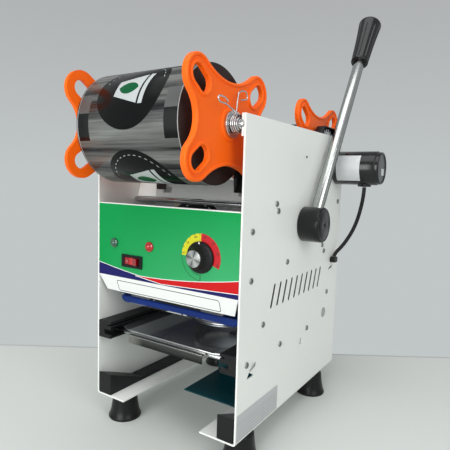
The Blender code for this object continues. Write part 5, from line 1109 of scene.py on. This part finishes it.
# Painted reflection and highlight: a dark band and a bright line at fixed angles round the rod.
dark_reflection_flanks = (rod_turn + DARK_REFLECTION_TURN).wrapped(WHOLE_TURN).size().over(*DARK_REFLECTION_REACH)
rod_highlight = (rod_turn + HIGHLIGHT_TURN).wrapped(WHOLE_TURN).size().under(HIGHLIGHT_REACH, HIGHLIGHT_REACH)
streak = plated_rod.noise(plated_rod.place(lever_place, upright, (160, 160, 1.5)), 3)
plated_rod.paint(
    plated_rod.mix(streak, (0.32, 0.34, 0.33), (0.58, 0.60, 0.58)),
    (dark_reflection_flanks * 0.85, (0.04, 0.045, 0.045)), (rod_highlight * 0.8, (0.75, 0.76, 0.75)),
)
plated_rod.wear(streak, 0.12, 0.28)
rod = soften(round_bar(ROD_RADIUS, ROD_START, ROD_END), EDGE)
remade(stand(rod, lever_place, LEVER_TURN), "lever_rod", "lever", plated_rod)

grip_rim = (GRIP_HIGH - GRIP_TOP_EDGE, GRIP_END - GRIP_CROWN - GRIP_TOP_EDGE)
grip_top = arc(grip_rim, GRIP_TOP_EDGE, math.pi / 2, 0, 8)
grip_sides = []
for ring in range(1, GRIP_RINGS):
    share = ring / GRIP_RINGS
    along = grip_rim[1] + (GRIP_START + 0.002 - grip_rim[1]) * share
    taper = (GRIP_LOW - GRIP_HIGH) * share ** 0.9
    grip_sides.append((GRIP_HIGH + taper - GRIP_BULGE * math.sin(math.pi * share), along))
grip = turned([(0, GRIP_END), (0.007, GRIP_END - 0.0004)] + grip_top + grip_sides + [
    (GRIP_LOW, GRIP_START + 0.0018), (GRIP_LOW - 0.0006, GRIP_START + 0.0005),
    (GRIP_LOW - 0.0018, GRIP_START), (GRIP_BORE[0], GRIP_START),
    (GRIP_BORE[0], GRIP_START + GRIP_BORE[1]), (0, GRIP_START + GRIP_BORE[1]),
], 20 * GRIP_FLUTES)


def ramp(value, start, length):
    return min(1, max(0, (value - start) / length))


for vertex in grip.verts:
    reach = vertex.co.xy.length
    if reach > GRIP_LOW - 0.003 and vertex.co.z > GRIP_START + 0.001:
        turn = math.atan2(vertex.co.y, vertex.co.x)
        off = math.remainder(turn, WHOLE_TURN / GRIP_FLUTES) / FLUTE_HALF_ANGLE
        start = ramp(vertex.co.z - GRIP_START, *FLUTE_LOW)
        stop = ramp(grip_rim[1] - vertex.co.z, *FLUTE_HIGH)
        if abs(off) < 1:
            vertex.co.xy *= 1 - FLUTE_DEPTH / reach * (1 - off * off) * start * stop
remade(stand(grip, lever_place, LEVER_TURN), "lever_grip", "lever", gloss_black)


# Rewind motor outside the right panel: lacquered black barrel with a stepped cap, a grey end disc
# with a small bare sticker, a bare white label round its front and a rubber cable grommet below.
MOTOR_AXIS = (0.313, 0.358)
MOTOR_RADIUS = 0.0280
MOTOR_LENGTH = 0.0770
MOTOR_CAP = 0.0265
LABEL_SPAN = (0.0080, 0.0472)
LABEL_TURN = math.radians(95)
LABEL_MIDDLE = math.radians(182)
STICKER_LOW = (0.3125, 0.3465)
STICKER_HIGH = (0.3265, 0.3575)
LABEL_RISE = 0.00005
LABEL_THICKNESS = 0.00018
STICKER_THICKNESS = 0.0003
DISC_INSET = 0.0040
DISC_DEPTH = 0.0020
DISC_THICKNESS = 0.0008
GROMMET_X = 0.1745
GROMMET_PROFILE = (
    (0, -0.012), (0.0110, -0.012), (0.0110, -0.0295), (0.0104, -0.0308),
    (0.0062, -0.0312), (0.0036, -0.0312), (0.0036, -0.028), (0, -0.028),
)

motor_place = spot(half_width + FIT_GAP, *MOTOR_AXIS)
motor = turned([
    (0, MOTOR_LENGTH - 0.0021), (MOTOR_CAP - 0.0036, MOTOR_LENGTH - 0.0021),
    (MOTOR_CAP - 0.0030, MOTOR_LENGTH - 0.0004), (MOTOR_CAP - 0.0024, MOTOR_LENGTH),
    (MOTOR_CAP - 0.0008, MOTOR_LENGTH), (MOTOR_CAP, MOTOR_LENGTH - 0.0008),
    (MOTOR_CAP, MOTOR_LENGTH - 0.0058), (MOTOR_RADIUS - 0.0008, MOTOR_LENGTH - 0.0062),
    (MOTOR_RADIUS, MOTOR_LENGTH - 0.0072), (MOTOR_RADIUS, 0.0010), (MOTOR_RADIUS - 0.0010, 0),
    (0.0140, 0), (0.0140, -0.0057), (0.0043, -0.0057), (0.0043, 0.018), (0, 0.018),
], 96)
stand(motor, motor_place, ALONG_X)
add_to(motor, stand(turned(GROMMET_PROFILE, 48), spot(GROMMET_X, *MOTOR_AXIS)))
remade(motor, "rewind_motor", "frame", gloss_black)

grey_disc = Finish("grey_disc", (0.075, 0.080, 0.080), 0.35, slot="black_plastic")
grey_disc.weather(200, (0.28, 0.42))
disc = soften(round_bar(MOTOR_CAP - DISC_INSET, 0, DISC_THICKNESS, 96), SMALL_EDGE)
disc_place = motor_place + Vector((MOTOR_LENGTH - DISC_DEPTH, 0, 0))
piece(stand(disc, disc_place, ALONG_X), "motor_end_disc", "frame", grey_disc)

label_paper = Finish("label_paper", (0.74, 0.76, 0.76), 0.5, slot="white_paint")
label_paper.weather(150, (0.42, 0.58), ((0.54, 0.56, 0.57), (0.64, 0.66, 0.67)))
sticker_x = half_width + FIT_GAP + MOTOR_LENGTH - DISC_DEPTH + DISC_THICKNESS
sticker_corner = spot(sticker_x + STICKER_THICKNESS, *STICKER_HIGH)
sticker = block(spot(sticker_x, *STICKER_LOW), sticker_corner, THIN_EDGE)
piece(sticker, "motor_sticker", "frame", label_paper)

label = bmesh.new()
label_ends = [label.verts.new((along, MOTOR_RADIUS + LABEL_RISE, 0)) for along in LABEL_SPAN]
label_edge = label.edges.new(label_ends)
label_start = Matrix.Rotation(LABEL_MIDDLE - LABEL_TURN / 2, 3, "X")
bmesh.ops.rotate(label, matrix=label_start, verts=label.verts)
bmesh.ops.spin(
    label, geom=label_ends + [label_edge], cent=(0, 0, 0), axis=(1, 0, 0),
    angle=LABEL_TURN, steps=32, use_duplicate=False,
)
label.normal_update()
outward = sum(face.normal.yz.dot(face.calc_center_median().yz) for face in label.faces)
if outward < 0:
    bmesh.ops.reverse_faces(label, faces=label.faces)
bmesh.ops.solidify(label, geom=label.faces, thickness=-LABEL_THICKNESS)
bmesh.ops.recalc_face_normals(label, faces=label.faces)
piece(stand(label, motor_place), "motor_label", "frame", label_paper)


# Reels' star plates: moulded orange with four lobes. A rounded bead runs round the outline and
# round the slot in each lobe, and a hollow plug on the inner face centres the film's core.
LOBE_Y = 0.063
LOBE_Z = 0.045
LOBE_RADIUS = 0.0237
TOP_WAIST = 0.049
SIDE_WAIST = 0.067
STAR_RIM = 0.0070
STAR_PLATE = 0.0050
BEAD_RADIUS = 0.00225
SLOT_INNER = 0.056
SLOT_OUTER = 0.0898
SLOT_WIDTH = 0.0205
STAR_HUB = 0.020
SHAFT_BORE = 0.0065
PLUG_RADIUS = 0.0317
PLUG_WALL = 0.004
PLUG_DEPTH = 0.012
PLUG_EDGE = 0.001
SUPPLY_AXIS = (0.001, 0.397)
REWIND_AXIS = (0.277, 0.393)
ROLL_ENDS = (-0.0843, 0.0826)
STAR_MIDDLES = (-0.0881, 0.1008)

orange = moulded(
    "orange_mould", "orange_plastic", ((0.97, 0.115, 0.003), (1.0, 0.155, 0.006)),
    (0.34, 0.48), 30, 0.22, (1200, 0.00005, 0.3),
)


def waist_arc(lobe_along, lobe_across, lobe_radius, waist):
    """Centre distance and radius of the hollow arc that touches two lobes and passes the waist."""
    narrowing = waist - lobe_radius
    center = (lobe_along ** 2 + lobe_across ** 2 - narrowing ** 2) / (2 * (lobe_along - narrowing))
    return center, center - waist


def star_outline(inset):
    """Four lobes joined by hollow arcs, drawn in by the inset; local X runs back in the machine."""
    lobe = LOBE_RADIUS - inset
    top_center, top_radius = waist_arc(LOBE_Z, LOBE_Y, lobe, TOP_WAIST - inset)
    side_center, side_radius = waist_arc(LOBE_Y, LOBE_Z, lobe, SIDE_WAIST - inset)
    side_touch = math.atan2(LOBE_Z, side_center - LOBE_Y)
    top_touch = math.atan2(LOBE_Y, top_center - LOBE_Z)
    quarter = arc((side_center, 0), side_radius, math.pi, math.pi - side_touch, 10)
    quarter += arc((LOBE_Y, LOBE_Z), lobe, -side_touch, math.pi / 2 + top_touch, 24)[1:]
    quarter += arc((0, top_center), top_radius, top_touch - math.pi / 2, -math.pi / 2, 10)[1:]
    upper = quarter + [(-x, y) for x, y in reversed(quarter[:-1])]
    return upper + [(-x, -y) for x, y in upper[1:-1]]


def star_slots(growth):
    """The slot in each lobe, grown by an equal margin all round."""
    slots = []
    reach = math.hypot(LOBE_Y, LOBE_Z)
    end = (SLOT_OUTER - SLOT_INNER - SLOT_WIDTH) / 2
    middle = (SLOT_OUTER + SLOT_INNER) / 2
    for back, up in ((1, 1), (-1, 1), (-1, -1), (1, -1)):
        lean = math.atan2(up * LOBE_Z, back * LOBE_Y)
        radius = SLOT_WIDTH / 2 + growth
        far = (math.cos(lean) * (middle + end), math.sin(lean) * (middle + end))
        near = (math.cos(lean) * (middle - end), math.sin(lean) * (middle - end))
        loop = arc(far, radius, lean - math.pi / 2, lean + math.pi / 2, 12)
        slots.append(loop + arc(near, radius, lean + math.pi / 2, lean + 3 * math.pi / 2, 12))
    return slots


def swept(points, radius, closed=False, roundness=3):
    """A round wire along points."""
    curve = bpy.data.curves.new("wire", "CURVE")
    curve.dimensions = "3D"
    curve.bevel_depth = radius
    curve.bevel_resolution = roundness
    curve.use_fill_caps = not closed
    line = curve.splines.new("POLY")
    line.points.add(len(points) - 1)
    for target, point in zip(line.points, points):
        target.co = (*point, 1)
    line.use_cyclic_u = closed
    return meshed(curve)


def star_plate(roll_end):
    """A star about local Z, its beaded face up; the roll's end is measured from its middle."""
    top, bottom = STAR_RIM / 2, -STAR_RIM / 2
    shaft_hole = circle((0, 0), SHAFT_BORE, 32)
    form = thicken(filled([star_outline(0)] + star_slots(0) + [shaft_hole]), STAR_PLATE)
    stand(form, Vector((0, 0, bottom)))
    for loop in [star_outline(BEAD_RADIUS)] + star_slots(BEAD_RADIUS):
        add_to(form, swept([(x, y, top - BEAD_RADIUS) for x, y in loop], BEAD_RADIUS, True))
    hub_side = bottom + 0.9 * STAR_PLATE
    add_to(form, turned((
        (SHAFT_BORE, top), (STAR_HUB - 0.0012, top), (STAR_HUB - 0.0004, top - 0.0003),
        (STAR_HUB, top - 0.0012), (STAR_HUB, hub_side), (SHAFT_BORE, hub_side),
    ), 64, True))
    inner = PLUG_RADIUS - PLUG_WALL
    lap = bottom + 0.5 * STAR_PLATE
    end = roll_end - PLUG_DEPTH
    profile = [(PLUG_RADIUS, lap)]
    if bottom - roll_end > PLUG_EDGE:
        shoulder = PLUG_RADIUS + PLUG_WALL
        stop = roll_end + FIT_GAP
        profile = [(shoulder, lap), (shoulder, stop), (PLUG_RADIUS, stop)]
    profile += [(PLUG_RADIUS, end + PLUG_EDGE), (PLUG_RADIUS - PLUG_EDGE, end)]
    profile += [(inner, end), (inner, lap)]
    return add_to(form, turned(profile, 64, True))


for reel, axis in (("supply", SUPPLY_AXIS), ("rewind", REWIND_AXIS)):
    for hand, side, turn in (("left", -1, ALONG_MINUS_X), ("right", 1, ALONG_X)):
        middle = STAR_MIDDLES[side > 0]
        roll_end = (ROLL_ENDS[side > 0] - middle) * side
        form = stand(star_plate(roll_end), spot(middle, *axis), turn)
        remade(form, reel + "_star_" + hand, reel + "_reel", orange)


# Supply shaft: plated steel, with a turned collar whose flange bears on the star, and a clip of
# bent spring wire that hugs the collar. The clip's arms are stated in shares of their length.
COLLAR_LEFT = 0.1046
COLLAR_LENGTH = 0.0125
COLLAR_FLANGE = 0.0030
COLLAR_RADIUS = 0.0160
COLLAR_HUB = 0.0085
COLLAR_EDGE = 0.0005
CLIP_WIRE = 0.0010
CLIP_RISE = 0.0006
CLIP_START_X = 0.1092
CLIP_PITCH = 0.0026
CLIP_START = math.radians(120)
CLIP_SWEEP = 3 * WHOLE_TURN - math.radians(48)
CLIP_STEPS = 27
CLIP_ARM = 0.0415
RIGHT_ARM = (
    (0.24, 0.72), (0.62, 0.80), (0.52, 1.00), (0.20, 0.93),
    (0.12, 0.80), (0.07, 0.50), (0.02, 0.32),
)
LEFT_ARM = (
    (-0.40, 0.34), (-0.78, 0.45), (-1.05, 0.46), (-1.13, 0.55),
    (-1.06, 0.62), (-0.80, 0.60), (-0.68, 0.53), (-0.74, 0.50),
)

supply_place = spot(0, *SUPPLY_AXIS)
softened("supply_shaft", "supply_reel", chrome, SMALL_EDGE)
collar = soften(turned((
    (COLLAR_HUB, COLLAR_LENGTH), (COLLAR_HUB, COLLAR_FLANGE), (COLLAR_RADIUS, COLLAR_FLANGE),
    (COLLAR_RADIUS, 0), (SHAFT_BORE, 0), (SHAFT_BORE, COLLAR_LENGTH),
), 64, True), COLLAR_EDGE, 3)
collar_place = supply_place + Vector((COLLAR_LEFT, 0, 0))
remade(stand(collar, collar_place, ALONG_X), "shaft_collar", "supply_reel", chrome)


def eased(points, steps):
    """Points of a smooth curve through the given ones."""
    line = [Vector(point) for point in points]
    line = [2 * line[0] - line[1]] + line + [2 * line[-1] - line[-2]]
    curve = []
    for before, here, there, after in zip(line, line[1:], line[2:], line[3:]):
        for step in range(steps):
            share = step / steps
            line_part = (there - before) * share
            square_part = (2 * before - 5 * here + 4 * there - after) * share ** 2
            cube_part = (3 * here - before - 3 * there + after) * share ** 3
            curve.append(here + 0.5 * (line_part + square_part + cube_part))
    return curve + [line[-2]]


wind = COLLAR_HUB + CLIP_RISE + CLIP_WIRE
clip_points = [(CLIP_START_X, y * CLIP_ARM, z * CLIP_ARM) for y, z in RIGHT_ARM]
for turned_by in spread(0, CLIP_SWEEP, CLIP_STEPS):
    angle = CLIP_START + turned_by
    clip_x = CLIP_START_X + CLIP_PITCH * turned_by / WHOLE_TURN
    clip_points.append((clip_x, wind * math.cos(angle), wind * math.sin(angle)))
clip_points += [(clip_x, y * CLIP_ARM, z * CLIP_ARM) for y, z in LEFT_ARM]
clip = stand(swept(eased(clip_points, 5), CLIP_WIRE, roundness=4), supply_place)
remade(clip, "spring_clip", "supply_reel", chrome)


# Film on both reels: clear printed film wound on a core. Black round prints with a plain cup and
# leaf sit one pitch apart, with black marks near both edges; the rolls' ends show the windings.
FILM_RADIUS = 0.0730
WASTE_RADIUS = 0.0380
CORE_RADIUS = 0.0320
ROLL_EDGE = 0.0006
WINDINGS = 5200
FIRST_PRINT = math.radians(146)
WASTE_PRINT = math.radians(60)
PRINT_PITCH = 0.1305
PRINT_RADIUS = 0.0535
PRINT_BLUR = 0.0003
CUP_SPAN = (-0.024, 0.016)
CUP_MIDDLE = -0.006
CUP_HALF = 0.0165
CUP_FLARE = 0.28
LID_SPAN = (0.019, 0.0255)
LID_HALF = 0.0235
LEAF_MIDDLE = -0.004
LEAF_OFFSET = 0.009
LEAF_BOW = 0.018
RING_SPAN = (0.0455, 0.0463)
RING_END = -0.010
RING_DASHES = 34
MARK_REACH = (0.0615, 0.0808)
MARK_SPAN = (0.0310, 0.0680)
FADE_SPAN = (0.0060, 0.0310)
MARGIN_SPAN = (0.0813, 0.0822)
LEAF_GREEN = (0.004, 0.085, 0.030)
PRINT_BLACK = (0.007, 0.008, 0.008)
PRINT_PALE = (0.44, 0.47, 0.47)


def film_print(across, along, base):
    """The base color and the layers of the repeated print, from metres across the film and along
    it, the latter from a print's middle."""
    step = along.wrapped(PRINT_PITCH)
    aside = step.size()
    reach = across.reach(step)
    inside = reach.under(PRINT_RADIUS, 0.0004)
    cup_half = (across - CUP_MIDDLE) * CUP_FLARE + CUP_HALF
    cup = aside.under(cup_half, PRINT_BLUR) * across.within(*CUP_SPAN, PRINT_BLUR)
    lid = aside.under(LID_HALF, PRINT_BLUR) * across.within(*LID_SPAN, PRINT_BLUR)
    leaf_bow = (across - LEAF_MIDDLE) ** 2 + (aside + LEAF_OFFSET) ** 2
    leaf = leaf_bow.under(LEAF_BOW ** 2, 0.00001)
    dashes = (step.math("ARCTAN2", across) * RING_DASHES).math("SINE").over(0.1, 0.2)
    ring = reach.within(*RING_SPAN, 0.0002) * step.under(RING_END, 0.002) * dashes
    near_edge = across.size().within(*MARK_REACH, PRINT_BLUR)
    mark = near_edge * step.within(*MARK_SPAN, PRINT_BLUR)
    fade = near_edge * step.within(*FADE_SPAN, PRINT_BLUR)
    margin = across.size().within(*MARGIN_SPAN, PRINT_BLUR)
    return (
        base, (fade, (0.10, 0.105, 0.105)), (mark, PRINT_BLACK), (margin, (0.45, 0.47, 0.46)),
        (inside, PRINT_BLACK), (inside * ring, PRINT_PALE), (inside * cup.most(lid), PRINT_PALE),
        (inside * leaf, LEAF_GREEN),
    )


def wound_film(name, axis, radius, turn):
    made = Finish(name, (0.2, 0.2, 0.2), 0.14, slot="film_black")
    center = spot(0, *axis)
    film_x, film_y, film_z = made.axes(made.place(center, (-turn, 0, 0)))
    along = film_z.math("ARCTAN2", film_y) * radius
    sheen_streaks = made.noise(made.place(center, stretch=(0.03, 1, 1)), 75, 5, 0.65)
    haze = made.noise(made.place(center), 18, 2)
    # Light streaks along the roll are painted reflections in its clear film.
    base = made.mix(((sheen_streaks - 0.36) * 3.2).clamped(), (0.016, 0.017, 0.018), (0.21, 0.22, 0.21))
    left, right = ROLL_ENDS
    ends = film_x.over(right - ROLL_EDGE).most(film_x.under(left + ROLL_EDGE))
    windings = (film_y.reach(film_z) * WINDINGS).math("SINE") * 0.5 + 0.5
    lines = (windings * 0.6 + haze * 0.5).least(1)
    brown = made.mix(lines, (0.010, 0.008, 0.008), (0.060, 0.045, 0.042))
    made.paint(*film_print(film_x, along, base), (ends, brown))
    made.wear(haze, 0.14, 0.26)
    made.set(Specular_IOR_Level=0.06)
    made.bump(sheen_streaks, 0.0004, 0.25)
    return made


for node, reel, axis, radius, name, turn in (
    ("film_roll", "supply_reel", SUPPLY_AXIS, FILM_RADIUS, "full_film", FIRST_PRINT),
    ("rewind_roll", "rewind_reel", REWIND_AXIS, WASTE_RADIUS, "waste_film", WASTE_PRINT),
):
    left, right = ROLL_ENDS
    form = turned((
        (CORE_RADIUS, right), (radius - ROLL_EDGE, right), (radius, right - ROLL_EDGE),
        (radius, left + ROLL_EDGE), (radius - ROLL_EDGE, left), (CORE_RADIUS, left),
    ), 160, True)
    film = wound_film(name, axis, radius, turn)
    remade(stand(form, spot(0, *axis), ALONG_X), node, reel, film)


# Film web: the length of film between the reels. It drops behind the guide rod, turns under the
# guide plate's lip, runs back under the plate and climbs to the rewind roll with its lids cut out.
WEB_ROUTE = (
    (0.0740, 0.4014), (0.0801, 0.2975), (0.0795, 0.2958), (0.0779, 0.2942), (0.0247, 0.1436),
    (0.0250, 0.1428), (0.0262, 0.1424), (0.3048, 0.1455), (0.3056, 0.1462), (0.3062, 0.1480),
    (0.3150, 0.3915),
)
WEB_HALF_WIDTH = 0.0828
WEB_THICKNESS = 0.00012
FLAT_START = 6
LID_RADIUS = 0.0490
LIDS_CUT = 3
HEAD_Y = 0.170

web_points = [Vector(point) for point in WEB_ROUTE]
stations = [0.0]
for before, after in zip(web_points, web_points[1:]):
    stations.append(stations[-1] + (after - before).length)
web_end = stations[-1]
head_station = stations[FLAT_START] + HEAD_Y - WEB_ROUTE[FLAT_START][0]
sheet = [
    (-WEB_HALF_WIDTH, 0), (WEB_HALF_WIDTH, 0),
    (WEB_HALF_WIDTH, web_end), (-WEB_HALF_WIDTH, web_end),
]
holes = [circle((0, head_station + cut * PRINT_PITCH), LID_RADIUS) for cut in range(LIDS_CUT)]
web = filled([sheet] + holes)
for station in stations[1:-1]:
    bmesh.ops.bisect_plane(
        web, geom=web.verts[:] + web.edges[:] + web.faces[:], dist=WELD,
        plane_co=(0, station, 0), plane_no=(0, 1, 0),
    )
bmesh.ops.triangulate(web, faces=[face for face in web.faces if len(face.verts) > 4])
uv_layer = web.loops.layers.uv.new("web")
for face in web.faces:
    for loop in face.loops:
        loop[uv_layer].uv = (loop.vert.co.x, loop.vert.co.y)
for vertex in web.verts:
    station = min(max(vertex.co.y, 0), web_end)
    leg = max(index for index, start in enumerate(stations[:-1]) if start <= station + WELD)
    share = (station - stations[leg]) / (stations[leg + 1] - stations[leg])
    y, z = web_points[leg].lerp(web_points[leg + 1], share)
    vertex.co = spot(vertex.co.x, y, z)
bmesh.ops.recalc_face_normals(web, faces=web.faces)
bmesh.ops.solidify(web, geom=web.faces, thickness=WEB_THICKNESS)
bmesh.ops.recalc_face_normals(web, faces=web.faces)

clear_film = Finish("clear_film", (0.30, 0.31, 0.31), 0.12, slot="film_black")
web_seen = clear_film.node("UVMap", {"uv_map": "web"})
web_x, web_s = clear_film.axes(web_seen)[:2]
along_print = web_s - head_station
web_step = along_print.wrapped(PRINT_PITCH)
drawn_out = clear_film.node("Mapping", {}, {"Vector": web_seen, "Scale": (3, 60, 1)})
web_sheen_streaks = clear_film.noise(drawn_out, 4)
# Light streaks in the web are painted reflections in its clear film.
web_base = clear_film.mix(web_sheen_streaks, (0.22, 0.23, 0.23), (0.55, 0.57, 0.56))
clear_film.paint(*film_print(web_x, along_print, web_base))
on_print = web_x.reach(web_step).under(PRINT_RADIUS, 0.0004)
on_marks = web_step.within(FADE_SPAN[0], MARK_SPAN[1], PRINT_BLUR)
on_marks = on_marks * web_x.size().within(*MARK_REACH, PRINT_BLUR)
clear_film.set(Alpha=on_print.most(on_marks) * 0.78 + 0.20)
clear_film.wear(web_sheen_streaks, 0.08, 0.2)
piece(web, "film_web", "frame", clear_film)


# Motor cable: a black rubber lead that hangs from the motor's grommet and runs down into the
# moulded clip on the right panel.
CABLE_DIAMETER = 0.0064
CABLE_ROUTE = (
    (0.1745, 0.3130, 0.3262), (0.1744, 0.3130, 0.3190), (0.1735, 0.3132, 0.3070),
    (0.1705, 0.3145, 0.2915), (0.1660, 0.3155, 0.2720), (0.1590, 0.3155, 0.2520),
    (0.1490, 0.3140, 0.2330), (0.1390, 0.3110, 0.2175), (0.1314, 0.3084, 0.2100),
    (0.1304, 0.3080, 0.2042),
)
cable_curve = bpy.data.curves.new("motor_lead", "CURVE")
cable_curve.dimensions = "3D"
cable_curve.bevel_depth = CABLE_DIAMETER / 2
cable_curve.bevel_resolution = 4
cable_curve.use_fill_caps = True
cable_line = cable_curve.splines.new("NURBS")
cable_line.points.add(len(CABLE_ROUTE) - 1)
for target, (x, y, z) in zip(cable_line.points, CABLE_ROUTE):
    target.co = (*spot(x, y, z), 1)
cable_line.use_endpoint_u = True
cable_line.order_u = 4
cable_line.resolution_u = 6
cable_curve.materials.append(foot_rubber.material)
cable = bpy.data.objects.new("motor_lead", cable_curve)
bpy.context.scene.collection.objects.link(cable)
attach(cable, "frame")
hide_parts("motor_cable")
